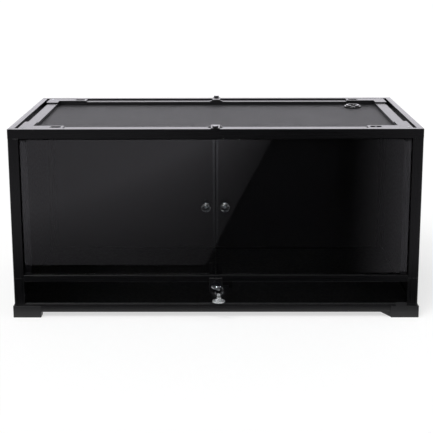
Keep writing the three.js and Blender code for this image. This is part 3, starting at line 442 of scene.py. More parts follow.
def extruded(shape, corners, run):
    """Fills a ring of corners with a face and extrudes it into a solid."""
    face = shape.faces.new([shape.verts.new(corner) for corner in corners])
    made = bmesh.ops.extrude_face_region(shape, geom=[face])["geom"]
    far = [item for item in made if isinstance(item, bmesh.types.BMVert)]
    bmesh.ops.translate(shape, vec=run, verts=far)


def plate(outline, thickness, place):
    """A flat outline of (x, y) points, thickened equally both ways and put in its place."""
    shape = bmesh.new()
    extruded(shape, [(a, b, -thickness / 2) for a, b in outline], Z * thickness)
    bmesh.ops.transform(shape, matrix=place, verts=shape.verts)
    bmesh.ops.recalc_face_normals(shape, faces=shape.faces)
    return shape


def foot_of(low, high, axis):
    """The middle of a box, moved along an axis to where that measure is nought."""
    centre = (low + high) / 2
    return centre - axis * centre.dot(axis)


def placed(name, shape):
    """An object in the scene that takes over a bmesh."""
    mesh = bpy.data.meshes.new(name)
    shape.to_mesh(mesh)
    shape.free()
    made = bpy.data.objects.new(name, mesh)
    bpy.context.scene.collection.objects.link(made)
    return made


def combined(body, tool, operation):
    """The union of two shapes, or the first with the second cut out."""
    first, second = placed("temporary", body), placed("temporary", tool)
    boolean = first.modifiers.new("combine", "BOOLEAN")
    boolean.operation = operation
    boolean.solver = "EXACT"
    boolean.object = second
    evaluated = first.evaluated_get(bpy.context.evaluated_depsgraph_get())
    result = bmesh.new()
    result.from_mesh(evaluated.to_mesh())
    for holder in (first, second):
        mesh = holder.data
        bpy.data.objects.remove(holder)
        bpy.data.meshes.remove(mesh)
    bmesh.ops.remove_doubles(result, verts=result.verts, dist=WELD)
    return result


def piece(name, shape, material, body, nodes=()):
    """Makes a finished piece of a shape. It rides on a body and may stand for CAD nodes."""
    made = placed(name, shape)
    made.data.materials.append(material)
    made.data.shade_smooth()
    made.data.set_sharp_from_angle(angle=SMOOTH)
    weighted = made.modifiers.new("even_flats", "WEIGHTED_NORMAL")
    weighted.keep_sharp = True
    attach(made, body)
    if nodes:
        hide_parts(*nodes)
    return made


def dress(node, shape, material, form):
    """Makes the piece that stands for one CAD node."""
    return piece(f"{node}_{form}", shape, material, BODY_OF[node], [node])


def round_off(node, material, form, width, longer_than=0.0, segments=2):
    """Makes the piece for a CAD node whose shape only needs rounder edges."""
    return dress(node, soften(merged(node), width, longer_than, segments), material, form)


def settings(context):
    """The sizes and the colours that the sidebar shows."""
    return context.scene.terrarium_sizes, context.scene.terrarium_colours


# ---------------------------------------------------------------- frame


class TERRARIUM_OT_frame_profiles(bpy.types.Operator):
    """Round the edges of the extruded rails and posts"""

    bl_idname = "terrarium.frame_profiles"
    bl_label = "Frame Profiles"

    # The short edges of the pivot holes and keyholes stay sharp.
    SHORTEST = 12 * MM

    def execute(self, context):
        sizes, colours = settings(context)
        runs = {}
        for side, along in (("front", 0), ("back", 0), ("left", 1), ("right", 1)):
            runs.update({f"{rail}_rail_{side}": along for rail in ("top", "base")})
        for corner in CORNERS:
            runs.update({f"{post}_post_{corner}": 2 for post in ("corner", "base")})
        runs["sill_rail"] = 0
        for node, along in runs.items():
            pvc = extruded_pvc(colours, along)
            round_off(node, pvc, "extrusion", sizes.profile_edge, self.SHORTEST)
        return {"FINISHED"}


class TERRARIUM_OT_feet(bpy.types.Operator):
    """Round the four corner feet"""

    bl_idname = "terrarium.feet"
    bl_label = "Feet"

    SHORTEST = 2 * MM

    def execute(self, context):
        sizes, colours = settings(context)
        look = (moulded_abs(colours), "moulding", sizes.foot_edge, self.SHORTEST, 3)
        for corner in CORNERS:
            round_off("foot_" + corner, *look)
        return {"FINISHED"}


class TERRARIUM_OT_panels(bpy.types.Operator):
    """Finish the side, back and floor panels"""

    bl_idname = "terrarium.panels"
    bl_label = "Panels"

    def execute(self, context):
        sizes, colours = settings(context)
        for node in ("side_panel_left", "side_panel_right", "back_panel", "floor_panel"):
            round_off(node, foamed_pvc(colours), "board", sizes.panel_edge)
        return {"FINISHED"}


# Ripple lengths and shares of a bead. The lengths have no common measure, so it never repeats.
RIPPLES = ((31 * MM, 0.5), (13.7 * MM, 0.3), (5.3 * MM, 0.2))
BEAD_SECTION = ((0, 0), (1, 0), (0.6, 0.25), (0.25, 0.6), (0, 1))
BEAD_STEP = 4 * MM


def bead(start, end, across, up, size, wave):
    """A smoothed bead of sealant in the corner between two faces, with a wavering front."""
    shape = bmesh.new()
    run = end - start
    forward = run.normalized()
    extruded(shape, [start + size * (a * across + b * up) for a, b in BEAD_SECTION], run)
    lengthwise = [edge for edge in shape.edges if edge.calc_length() > size * 2]
    cuts = round(run.length / BEAD_STEP)
    bmesh.ops.subdivide_edges(shape, edges=lengthwise, cuts=cuts, use_grid_fill=True)
    for vert in shape.verts:
        along = (vert.co - start).dot(forward)
        spine = start + forward * along
        ripple = sum(share * math.sin(FULL_TURN * along / pitch) for pitch, share in RIPPLES)
        vert.co = spine + (vert.co - spine) * (1 + wave * ripple)
    bmesh.ops.recalc_face_normals(shape, faces=shape.faces)
    return shape


class TERRARIUM_OT_lower_pane(bpy.types.Operator):
    """Make the fixed lower pane and the sealant along its foot"""

    bl_idname = "terrarium.lower_pane"
    bl_label = "Lower Pane"

    SHORTEST = 12 * MM
    BEAD_SHARE = 0.5
    BEAD_WAVE = 0.2

    def execute(self, context):
        sizes, colours = settings(context)
        node = "lower_front_glass"
        round_off(node, float_glass(colours), "pane", sizes.glass_edge, self.SHORTEST)
        low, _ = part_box(node)
        rail_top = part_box("base_rail_front")[1].z + PLAY
        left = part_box("base_post_front_left")[1].x + PLAY
        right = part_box("base_post_front_right")[0].x - PLAY
        ends = [Vector((x, low.y - PLAY / 2, rail_top)) for x in (left, right)]
        seal = bead(*ends, -Y, Z, sizes.bead * self.BEAD_SHARE, self.BEAD_WAVE)
        piece("lower_pane_seal", seal, silicone(colours), "cabinet")
        return {"FINISHED"}


class TERRARIUM_OT_inner_seals(bpy.types.Operator):
    """Run sealant down the back corners and along the floor"""

    bl_idname = "terrarium.inner_seals"
    bl_label = "Inner Seals"

    WAVE = 0.25
    # The corner beads start this many bead sizes above the floor, clear of the floor's own bead.
    LIFT = 1.5

    def execute(self, context):
        sizes, colours = settings(context)
        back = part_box("back_panel")[0].y - PLAY
        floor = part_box("floor_panel")[1].z + PLAY
        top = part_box("top_rail_back")[0].z - PLAY
        for hand, inward in zip(HANDS, (X, -X)):
            post_low, post_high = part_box("corner_post_back_" + hand)
            face = (post_high.x if hand == "left" else post_low.x) + inward.x * PLAY
            foot = Vector((face, back, floor + sizes.bead * self.LIFT))
            upright = bead(foot, Vector((face, back, top)), inward, -Y, sizes.bead, self.WAVE)
            piece("back_corner_seal_" + hand, upright, silicone(colours), "cabinet")
        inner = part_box("corner_post_back_left")[1].x + PLAY
        run = (Vector((inner, back, floor)), Vector((-inner, back, floor)))
        along_floor = bead(*run, -Y, Z, sizes.bead, self.WAVE)
        piece("floor_seal", along_floor, silicone(colours), "cabinet")
        return {"FINISHED"}


# ---------------------------------------------------------------- lock and key

KEY_TILT = math.radians(20)


class TERRARIUM_OT_cam_lock(bpy.types.Operator):
    """Make the lock's housing, barrel, plug and cam"""

    bl_idname = "terrarium.cam_lock"
    bl_label = "Cam Lock"

    BEZEL_THICKNESS = 2 * MM
    BARREL_RADIUS = 7.2 * MM
    BORE_RADIUS = 5.3 * MM
    PLUG_RADIUS = 5 * MM
    STUD_RADIUS = 3 * MM
    STUD_HEAD_RADIUS = 4.5 * MM
    ROUNDING = 0.7 * MM
    FACE_EDGE = 0.35 * MM
    KEYWAY = (7.6 * MM, 2.6 * MM)
    HOUSING_SHORTEST = 3.5 * MM
    CAM_SHORTEST = 3 * MM

    def barrel(self, low, high, centre):
        bezel = (high.x - low.x) / 2
        front, back = low.y, high.y
        shoulder = front + self.BEZEL_THICKNESS
        edge = self.FACE_EDGE
        profile = [
            (self.BORE_RADIUS, back),
            (self.BORE_RADIUS, front + 2 * edge),
            (self.BORE_RADIUS + 2 * edge, front),
            (bezel - self.ROUNDING, front),
            *quarter((bezel - self.ROUNDING, front), (bezel, front + self.ROUNDING), True, 4),
            (bezel, shoulder),
            (self.BARREL_RADIUS, shoulder),
            (self.BARREL_RADIUS, back),
        ]
        return turned(profile, centre, Y, closed=True, steps=64)

    def plug(self, low, high, centre):
        front, head_back = low.y, high.y
        cam_low, cam_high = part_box("lock_cam")
        shoulder = cam_low.y - PLAY
        head_front = cam_high.y + PLAY
        edge = self.FACE_EDGE
        profile = [
            (0, front),
            (self.PLUG_RADIUS - edge, front),
            (self.PLUG_RADIUS, front + edge),
            (self.PLUG_RADIUS, shoulder),
            (self.STUD_RADIUS, shoulder),
            (self.STUD_RADIUS, head_front),
            (self.STUD_HEAD_RADIUS, head_front),
            *quarter((self.STUD_HEAD_RADIUS, head_front), (0, head_back), False, 5),
        ]
        body = turned(profile, centre, Y, steps=48)
        width, height = self.KEYWAY
        turn = Matrix.Translation(centre) @ Matrix.Rotation(KEY_TILT, 4, "Y")
        blade_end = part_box("key")[1].y + PLAY
        corner = (-width / 2, front - PLAY, -height / 2)
        keyway = block(corner, (width / 2, blade_end, height / 2), turn)
        return combined(body, keyway, "DIFFERENCE")

    def execute(self, context):
        sizes, colours = settings(context)
        look = (extruded_pvc(colours, 2), "moulding", 2 * sizes.profile_edge)
        round_off("lock_housing", *look, self.HOUSING_SHORTEST, 3)
        low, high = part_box("lock_barrel")
        centre = foot_of(low, high, Y)
        dress("lock_barrel", self.barrel(low, high, centre), black_nickel(colours), "turning")
        plug = self.plug(*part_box("lock_plug"), centre)
        dress("lock_plug", plug, black_nickel(colours), "turning")
        steel = blackened_steel(colours)
        round_off("lock_cam", steel, "pressing", sizes.metal_edge, self.CAM_SHORTEST)
        return {"FINISHED"}


class TERRARIUM_OT_key_and_fob(bpy.types.Operator):
    """Make the key, its split ring and the clear bell-shaped fob"""

    bl_idname = "terrarium.key_and_fob"
    bl_label = "Key and Fob"

    KEY_THICKNESS = 2 * MM
    BOW_LENGTH = 18 * MM
    BLADE_WIDTH = 7 * MM
    BLADE_LAP = 1.2 * MM
    BLADE_TIP = 0.3
    HOLE_RADIUS = 1.8 * MM
    CUTS = (1.2 * MM, 0.6 * MM, 1.6 * MM, 0.9 * MM, 1.3 * MM)
    CUT_PITCH = 3 * MM
    WIRE_RADIAL = 0.75 * MM
    # Half of the wire's width as a share of the coil's pitch, a little less than touching.
    WIRE_ALONG = 0.49
    RING_TURNS = 2
    RING_STEPS = 48
    FOB_NECK_RADIUS = 4.25 * MM
    FOB_NECK_LENGTH = 9 * MM
    FOB_WALL = 1.8 * MM
    FOB_HOLLOW = 0.5
    FOB_RIM = 1.2 * MM
    FOB_HOLE_RADIUS = 2.1 * MM

    def key(self, sizes):
        low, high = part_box("key")
        centre = foot_of(*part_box("lock_barrel"), Y)
        place = Matrix.Translation(centre) @ Matrix.Rotation(KEY_TILT, 4, "Y")
        half_width = (high.x - low.x) / 2 / math.cos(KEY_TILT)
        middle = low.y + self.BOW_LENGTH / 2
        ellipse = [
            (half_width * math.cos(angle), middle + self.BOW_LENGTH / 2 * math.sin(angle))
            for angle in (FULL_TURN * step / 48 for step in range(48))
        ]
        bow = plate(ellipse, self.KEY_THICKNESS, place)
        half = self.BLADE_WIDTH / 2
        tip = half * self.BLADE_TIP
        start = low.y + self.BOW_LENGTH - self.BLADE_LAP
        points = [(half, start), (half, high.y - half)]
        points += [(tip, high.y), (-tip, high.y), (-half, high.y - half)]
        for number, cut in enumerate(self.CUTS):
            top = high.y - half - self.CUT_PITCH * (number + 0.5)
            bottom = top - self.CUT_PITCH * 0.5
            points += [(-half + cut, top), (-half + cut, bottom)]
        points.append((-half, start))
        body = combined(bow, plate(points, self.KEY_THICKNESS, place), "UNION")
        hole = rod(Vector((0, middle, -1)), Vector((0, middle, 1)), self.HOLE_RADIUS, 20)
        bmesh.ops.transform(hole, matrix=place, verts=hole.verts)
        return soften(combined(body, hole, "DIFFERENCE"), sizes.metal_edge, 0, 2)

    def ring(self):
        low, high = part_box("split_ring")
        centre = (low + high) / 2
        depth = high.y - low.y
        pitch = depth / (self.RING_TURNS + 1)
        outer = (high.x - low.x) / 2
        shape = bmesh.new()
        section = bmesh.ops.create_circle(shape, cap_ends=True, segments=8, radius=1)["verts"]
        size = Matrix.Diagonal((self.WIRE_RADIAL, pitch * self.WIRE_ALONG, 1, 1))
        start = centre + X * (outer - self.WIRE_RADIAL) - Y * pitch
        # The circle lies in X and Y, which is the ring's section where it crosses the X axis.
        bmesh.ops.transform(shape, matrix=Matrix.Translation(start) @ size, verts=section)
        steps = self.RING_STEPS * self.RING_TURNS
        bmesh.ops.spin(
            shape,
            geom=shape.verts[:] + shape.edges[:] + shape.faces[:],
            cent=centre,
            axis=Y,
            angle=FULL_TURN * self.RING_TURNS,
            steps=steps,
            dvec=Y * pitch * self.RING_TURNS / steps,
        )
        bmesh.ops.remove_doubles(shape, verts=shape.verts, dist=WELD)
        bmesh.ops.recalc_face_normals(shape, faces=shape.faces)
        return shape

    def fob(self):
        low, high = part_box("key_fob")
        ring_low, ring_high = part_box("split_ring")
        rim = (high.x - low.x) / 2
        neck_end = high.z - self.FOB_NECK_LENGTH
        neck, wall = self.FOB_NECK_RADIUS, self.FOB_WALL
        hollow_top = low.z + (neck_end - low.z) * self.FOB_HOLLOW
        profile = [
            (0, hollow_top),
            *quarter((0, hollow_top), (rim - wall, low.z), True, 8),
            *quarter((rim - wall, low.z), (rim, low.z + self.FOB_RIM), True, 4),
            (rim, low.z + 2 * self.FOB_RIM),
            *quarter((rim, low.z + 2 * self.FOB_RIM), (neck, neck_end), True, 8),
            (neck, high.z - neck / 2),
            *quarter((neck, high.z - neck / 2), (0, high.z), False, 6),
        ]
        centre = foot_of(low, high, Z)
        bell = turned(profile, centre, Z)
        wire = (ring_high.y - ring_low.y) / 2
        hole_centre = Vector((centre.x, centre.y, ring_low.z + wire))
        hole = rod(hole_centre - X * 2 * neck, hole_centre + X * 2 * neck, self.FOB_HOLE_RADIUS)
        return combined(bell, hole, "DIFFERENCE")

    def execute(self, context):
        sizes, colours = settings(context)
        dress("key", self.key(sizes), tumbled_nickel(colours), "cutting")
        dress("split_ring", self.ring(), nickel_plate(colours), "coil")
        dress("key_fob", self.fob(), scuffed_acrylic(colours), "bell")
        return {"FINISHED"}


# ---------------------------------------------------------------- doors


class TERRARIUM_OT_doors(bpy.types.Operator):
    """Make the door panes with their hinge strips, edge strips and catches"""

    bl_idname = "terrarium.doors"
    bl_label = "Doors"

    # The pane runs on over its hinge strip, but for the ends, where the strip holds its pins.
    STRIP_END = 4 * MM
    WING_LAP = 0.1
    SHORTEST = 12 * MM
    STRIP_GAP = 0.05 * MM
    STRIP_EDGE = 0.3
    STRIP_SHORTEST = 1 * MM
    CATCH_SHORTEST = 1 * MM

    def pane_and_strip(self, hand):
        """The pane, widened to the outer edge of its strip, and the strip cut back behind it."""
        glass, hinge = "door_glass_" + hand, "hinge_strip_" + hand
        (low, high), (strip_low, strip_high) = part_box(glass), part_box(hinge)
        outer = strip_low.x if hand == "left" else strip_high.x
        edge = low.x if hand == "left" else high.x
        inner = edge + (edge - outer) * self.WING_LAP
        near, far = sorted((outer, inner))
        bottom, top = low.z + self.STRIP_END, high.z - self.STRIP_END
        wing = block((near, low.y, bottom), (far, high.y, top))
        pane = combined(merged(glass), wing, "UNION")
        bmesh.ops.dissolve_limit(pane, angle_limit=FLAT, verts=pane.verts, edges=pane.edges)
        margin = far - near
        room = block(
            (strip_low.x - margin, strip_low.y - PLAY, bottom - PLAY / 2),
            (strip_high.x + margin, high.y + PLAY / 2, top + PLAY / 2),
        )
        return pane, combined(merged(hinge), room, "DIFFERENCE")

    def edge_strip(self, sizes, low, high, inward):
        """An L of clear strip on the front and the meeting edge of a pane."""
        wall, gap = sizes.strip_wall, self.STRIP_GAP
        edge = high.x if inward.x < 0 else low.x
        outward = -inward.x
        flange = sorted((edge + inward.x * sizes.strip_width, edge + outward * (gap + wall)))
        lip = sorted((edge + outward * gap, edge + outward * (gap + wall)))
        front = low.y - gap - wall
        z0, z1 = low.z, high.z
        shape = block((flange[0], front, z0), (flange[1], low.y - gap, z1))
        side = block((lip[0], front + wall / 2, z0), (lip[1], high.y - gap, z1))
        joined = combined(shape, side, "UNION")
        return soften(joined, wall * self.STRIP_EDGE, self.STRIP_SHORTEST)

    def execute(self, context):
        sizes, colours = settings(context)
        for hand, inward in zip(HANDS, (-X, X)):
            glass, body = "door_glass_" + hand, BODY_OF["door_glass_" + hand]
            pane, hinge_strip = self.pane_and_strip(hand)
            pane = soften(pane, sizes.glass_edge, self.SHORTEST)
            dress(glass, pane, float_glass(colours), "pane")
            strip = self.edge_strip(sizes, *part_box(glass), inward)
            piece("edge_strip_" + hand, strip, clear_strip(colours), body)
            dress("hinge_strip_" + hand, hinge_strip, extruded_pvc(colours, 2), "extrusion")
            look = (blackened_steel(colours), "pressing", sizes.metal_edge)
            round_off("door_catch_" + hand, *look, self.CATCH_SHORTEST)
        return {"FINISHED"}


class TERRARIUM_OT_knobs(bpy.types.Operator):
    """Turn the clear door knobs and their screws"""

    bl_idname = "terrarium.knobs"
    bl_label = "Knobs"

    NECK_RADIUS = 5.2 * MM
    FOOT_RADIUS = 7 * MM
    HOLE_RADIUS = 2.3 * MM
    HOLE_DEPTH = 11.3 * MM
    # How far back the knob's rings lie, as shares of its length.
    DOME, SHOULDER, WAIST, FOOT = 0.32, 0.56, 0.78, 0.93
    SHOULDER_RADIUS = 0.78
    HEAD_THICKNESS = 2.5 * MM
    HEAD_RIM = 0.35
    HEAD_RADIUS = 4 * MM
    SHAFT_RADIUS = 2 * MM
    THREAD_DEPTH = 0.35 * MM
    THREAD_PITCH = 0.9 * MM
    RECESS = (0.9 * MM, 4.4 * MM, 1.2 * MM)

    def knob(self, low, high, centre):
        radius = (high.x - low.x) / 2
        front, back = low.y, high.y
        depth = back - front
        widest = (radius, front + depth * self.DOME)
        shoulder = (radius * self.SHOULDER_RADIUS, front + depth * self.SHOULDER)
        waist = (self.NECK_RADIUS, front + depth * self.WAIST)
        foot = (self.FOOT_RADIUS, front + depth * self.FOOT)
        profile = [
            (0, front),
            *quarter((0, front), widest, True, 10),
            *quarter(widest, shoulder, False, 5),
            *quarter(shoulder, waist, True, 5),
            *quarter(waist, foot, False, 5),
            (self.FOOT_RADIUS, back),
            (self.HOLE_RADIUS, back),
            (self.HOLE_RADIUS, back - self.HOLE_DEPTH),
            (0, back - self.HOLE_DEPTH),
        ]
        return turned(profile, centre, Y, steps=64)

    def screw(self, low, high, centre):
        head_front = high.y - self.HEAD_THICKNESS
        profile = [(0, low.y), (self.SHAFT_RADIUS - self.THREAD_DEPTH, low.y)]
        ridge = low.y + self.THREAD_PITCH
        while ridge < head_front - self.THREAD_PITCH:
            profile.append((self.SHAFT_RADIUS, ridge))
            profile.append((self.SHAFT_RADIUS - self.THREAD_DEPTH, ridge + self.THREAD_PITCH / 2))
            ridge += self.THREAD_PITCH
        rim = (self.HEAD_RADIUS, head_front + self.HEAD_THICKNESS * self.HEAD_RIM)
        profile += [
            (self.SHAFT_RADIUS, head_front),
            (self.HEAD_RADIUS, head_front),
            rim,
            *quarter(rim, (0, high.y), False, 6),
        ]
        body = turned(profile, centre, Y, steps=24)
        width, span, depth = self.RECESS
        for turn in (0, math.pi / 2):
            place = Matrix.Translation(centre) @ Matrix.Rotation(turn, 4, "Y")
            corner = (-width / 2, high.y - depth, -span / 2)
            slot = block(corner, (width / 2, high.y + PLAY, span / 2), place)
            body = combined(body, slot, "DIFFERENCE")
        return body

    def execute(self, context):
        _, colours = settings(context)
        for hand in HANDS:
            node = "door_knob_" + hand
            low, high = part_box(node)
            centre = foot_of(low, high, Y)
            dress(node, self.knob(low, high, centre), clear_acrylic(colours), "turning")
            screw = self.screw(*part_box("knob_screw_" + hand), centre)
            dress("knob_screw_" + hand, screw, zinc_plate(colours), "turning")
        return {"FINISHED"}


# ---------------------------------------------------------------- lid


class TERRARIUM_OT_lid_mouldings(bpy.types.Operator):
    """Finish the lid's corner mouldings, bars and port sliders"""

    bl_idname = "terrarium.lid_mouldings"
    bl_label = "Lid Mouldings"

    SHORTEST = 5 * MM
    RIB_PITCH = 3 * MM
    RIB_WIDTH = 1.2 * MM
    RIB_HEIGHT = 0.9 * MM
    STEP_DROP = 6.5 * MM
    STEP_WIDTH = 3.9 * MM
    SCREW_RADIUS = 2.6 * MM
    SCREW_RISE = 1.1 * MM
    SCREW_RIM = 0.3
    SCREW_INSET = 9 * MM
    SLIDER_EDGE = 0.3 * MM
    SLIDER_SHORTEST = 1 * MM

    def ribs(self, node, outward):
        """A row of small ribs on the lower step outside a side bar."""
        low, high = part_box(node)
        top = high.z - self.STEP_DROP
        outer = high.x if outward > 0 else low.x
        span = sorted((outer - outward * PLAY, outer - outward * (self.STEP_WIDTH - PLAY)))
        shape = bmesh.new()
        count = int((high.y - low.y) / self.RIB_PITCH)
        for number in range(count):
            middle = low.y + self.RIB_PITCH * (number + 0.5)
            near, far = middle - self.RIB_WIDTH / 2, middle + self.RIB_WIDTH / 2
            block((span[0], near, top - PLAY), (span[1], far, top + self.RIB_HEIGHT), into=shape)
        return shape

    def screw_head(self, corner):
        """A round-headed screw near the outer corner of a moulding."""
        low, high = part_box("lid_corner_" + corner)
        x = low.x + self.SCREW_INSET if "left" in corner else high.x - self.SCREW_INSET
        y = high.y - self.SCREW_INSET if "back" in corner else low.y + self.SCREW_INSET
        rim = (self.SCREW_RADIUS, high.z + self.SCREW_RISE * self.SCREW_RIM)
        profile = [(0, high.z), (self.SCREW_RADIUS, high.z), rim]
        profile += quarter(rim, (0, high.z + self.SCREW_RISE), False, 5)
        return turned(profile, Vector((x, y, 0)), Z, steps=24)

    def execute(self, context):
        sizes, colours = settings(context)
        satin = lid_abs(colours)
        bars = ["lid_bar_" + side for side in ("front", "back", "left", "right")]
        for node in ["lid_corner_" + corner for corner in CORNERS] + bars:
            round_off(node, satin, "moulding", sizes.lid_edge, self.SHORTEST)
        for hand, outward in zip(HANDS, (-1, 1)):
            ribs = self.ribs("lid_bar_" + hand, outward)
            piece("lid_ribs_" + hand, ribs, satin, "lid")
        for corner in CORNERS:
            look = (satin, "moulding", self.SLIDER_EDGE, self.SLIDER_SHORTEST)
            round_off("port_slider_" + corner, *look)
            head = self.screw_head(corner)
            piece("lid_screw_" + corner, head, zinc_plate(colours), "lid")
        return {"FINISHED"}


class TERRARIUM_OT_lid_mesh(bpy.types.Operator):
    """Lay the wires of the lid's mesh, with a round opening for the grommet"""

    bl_idname = "terrarium.lid_mesh"
    bl_label = "Lid Mesh"

    # The wires run this far under the grommet's flange.
    FLANGE_LAP = 3 * MM
    # Crossing wires share a little height, as pressed wires do where they cross.
    BITE = 0.1 * MM

    def runs(self, place, low, high, centre, radius):
        """The one or two stretches of a wire at a place, left and right of the round opening."""
        off = abs(place - centre[0])
        if off >= radius:
            return [(low, high)]
        half = math.sqrt(radius**2 - off**2)
        return [(low, centre[1] - half), (centre[1] + half, high)]

    def execute(self, context):
        sizes, colours = settings(context)
        low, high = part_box("lid_mesh")
        ring_low, ring_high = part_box("grommet_ring")
        centre = (ring_low + ring_high) / 2
        radius = (ring_high.x - ring_low.x) / 2 - self.FLANGE_LAP
        half = sizes.wire / 2
        middle = (low.z + high.z) / 2
        levels = {0: (middle - self.BITE, high.z), 1: (low.z, middle + self.BITE)}
        shape = bmesh.new()
        for along, across in ((0, 1), (1, 0)):
            bottom, top = levels[along]
            count = int((high[across] - low[across]) / sizes.mesh_pitch)
            margin = (high[across] - low[across] - (count - 1) * sizes.mesh_pitch) / 2
            for number in range(count):
                place = low[across] + margin + number * sizes.mesh_pitch
                opening = (centre[across], centre[along])
                for start, end in self.runs(place, low[along], high[along], opening, radius):
                    near, far = Vector((0, 0, bottom)), Vector((0, 0, top))
                    near[along], far[along] = start, end
                    near[across], far[across] = place - half, place + half
                    block(near, far, into=shape)
        dress("lid_mesh", shape, coated_wire(colours), "wires")
        return {"FINISHED"}


class TERRARIUM_OT_grommet(bpy.types.Operator):
    """Turn the cable grommet and its notched cap"""

    bl_idname = "terrarium.grommet"
    bl_label = "Grommet"

    FLANGE_THICKNESS = 4 * MM
    SLEEVE_RADIUS = 17.5 * MM
    BORE_RADIUS = 15 * MM
    SEAT_RADIUS = 12.5 * MM
    SEAT_THICKNESS = 2 * MM
    ROUNDING = 1.6 * MM
    BORE_EDGE = 0.5 * MM
    CAP_RADIUS = 17 * MM
    CAP_ROUNDING = 0.6
    CAP_DISH = 3 * MM
    NOTCH_WIDTH = 10 * MM
    NOTCH_DEPTH = 14 * MM
    NOTCH_EDGE = 0.4 * MM
    NOTCH_SHORTEST = 8 * MM

    def ring(self, low, high, centre):
        flange = (high.x - low.x) / 2
        underside = high.z - self.FLANGE_THICKNESS
        top, bottom = high.z, low.z
        seat = bottom + self.SEAT_THICKNESS
        profile = [
            (self.SEAT_RADIUS, bottom),
            (self.SLEEVE_RADIUS, bottom),
            (self.SLEEVE_RADIUS, underside),
            (flange, underside),
            (flange, top - self.ROUNDING),
            *quarter((flange, top - self.ROUNDING), (flange - self.ROUNDING, top), False, 5),
            (self.BORE_RADIUS + self.BORE_EDGE, top),
            (self.BORE_RADIUS, top - self.BORE_EDGE),
            (self.BORE_RADIUS, seat),
            (self.SEAT_RADIUS, seat),
        ]
        return turned(profile, centre, Z, closed=True, steps=72)

    def cap(self, low, high, centre, ring_top):
        body = self.BORE_RADIUS - PLAY
        rim_bottom = ring_top + PLAY
        rounding = self.ROUNDING * self.CAP_ROUNDING
        rim = (self.CAP_RADIUS, high.z - rounding)
        dish = high.z - self.CAP_DISH
        profile = [
            (0, low.z),
            (body, low.z),
            (body, rim_bottom),
            (self.CAP_RADIUS, rim_bottom),
            rim,
            *quarter(rim, (self.CAP_RADIUS - rounding, high.z), False, 4),
            (body - self.CAP_DISH, high.z),
            *quarter((body - self.CAP_DISH, high.z), (body - 2 * self.CAP_DISH, dish), False, 5),
            (0, dish),
        ]
        cap = turned(profile, centre, Z, steps=72)
        half = self.NOTCH_WIDTH / 2
        end = centre.y - (self.CAP_RADIUS - self.NOTCH_DEPTH)
        near = (centre.x - half, centre.y - self.CAP_RADIUS - PLAY, low.z - PLAY)
        notch = block(near, (centre.x + half, end, high.z + PLAY))
        notched = combined(cap, notch, "DIFFERENCE")
        return soften(notched, self.NOTCH_EDGE, self.NOTCH_SHORTEST)

    def execute(self, context):
        _, colours = settings(context)
        low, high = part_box("grommet_ring")
        centre = foot_of(low, high, Z)
        dress("grommet_ring", self.ring(low, high, centre), gloss_nylon(colours), "turning")
        cap = self.cap(*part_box("grommet_cap"), centre, high.z)
        dress("grommet_cap", cap, gloss_nylon(colours), "turning")
        return {"FINISHED"}


class TERRARIUM_OT_lid_locks(bpy.types.Operator):
    """Make the fluted quarter-turn knobs that hold the lid"""

    bl_idname = "terrarium.lid_locks"
    bl_label = "Lid Locks"

    KNOB_RADIUS = 6.3 * MM
    KNOB_HEIGHT = 4.4 * MM
    STEM_RADIUS = 1.2 * MM
    TONGUE_THICKNESS = 2.4 * MM
    TONGUE_WIDTH = 2.6 * MM
    TONGUE_LENGTH = 9 * MM
    FLUTES = 18
    FLUTE_DEPTH = 0.07
    RIM_EDGE = 0.8 * MM
    TONGUE_EDGE = 0.3 * MM

    def knob(self, low, high):
        centre = foot_of(low, high, Z)
        bottom = high.z - self.KNOB_HEIGHT
        shape = rod(centre + Z * bottom, centre + Z * high.z, self.KNOB_RADIUS, 4 * self.FLUTES)
        for vert in shape.verts:
            spoke = vert.co - Vector((centre.x, centre.y, vert.co.z))
            wave = math.cos(math.atan2(spoke.y, spoke.x) * self.FLUTES)
            vert.co -= spoke * self.FLUTE_DEPTH * (0.5 - 0.5 * wave)
        rim = [edge for edge in shape.edges if all(abs(v.co.z - high.z) < WELD for v in edge.verts)]
        rounded(shape, rim, self.RIM_EDGE, 3, False)
        stem = rod(centre + Z * (low.z + PLAY), centre + Z * (bottom + PLAY), self.STEM_RADIUS, 16)
        half = Vector((self.TONGUE_LENGTH, self.TONGUE_WIDTH, 0)) / 2
        top = Vector((0, 0, low.z + self.TONGUE_THICKNESS))
        tongue = block(centre - half + Z * low.z, centre + half + top)
        tongue = soften(tongue, self.TONGUE_EDGE)
        return combined(combined(shape, stem, "UNION"), tongue, "UNION")

    def execute(self, context):
        _, colours = settings(context)
        for side in ("front", "back"):
            node = "lid_lock_" + side
            dress(node, self.knob(*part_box(node)), gloss_nylon(colours), "moulding")
        return {"FINISHED"}


# ---------------------------------------------------------------- stage


def seen_as(tree, directly, otherwise):
    """A strength that differs between what is seen, mirrored or looked through, and what lights."""
    light = add_node(tree, "ShaderNodeLightPath")
    seen = light.outputs["Is Camera Ray"]
    for ray in ("Is Glossy Ray", "Is Transmission Ray"):
        inputs = {0: seen, 1: light.outputs[ray]}
        seen = add_node(tree, "ShaderNodeMath", {"operation": "MAXIMUM"}, inputs).outputs[0]
    inputs = {"Value": seen, "To Min": otherwise, "To Max": directly}
    return add_node(tree, "ShaderNodeMapRange", inputs=inputs).outputs["Result"]


def level(left, right, far, near, height):
    """The corners of a level rectangle."""
    return [(left, far, height), (right, far, height), (right, near, height), (left, near, height)]


def upright(left, right, bottom, top, depth):
    """The corners of an upright rectangle that faces the front."""
    return [(left, depth, bottom), (right, depth, bottom), (right, depth, top), (left, depth, top)]


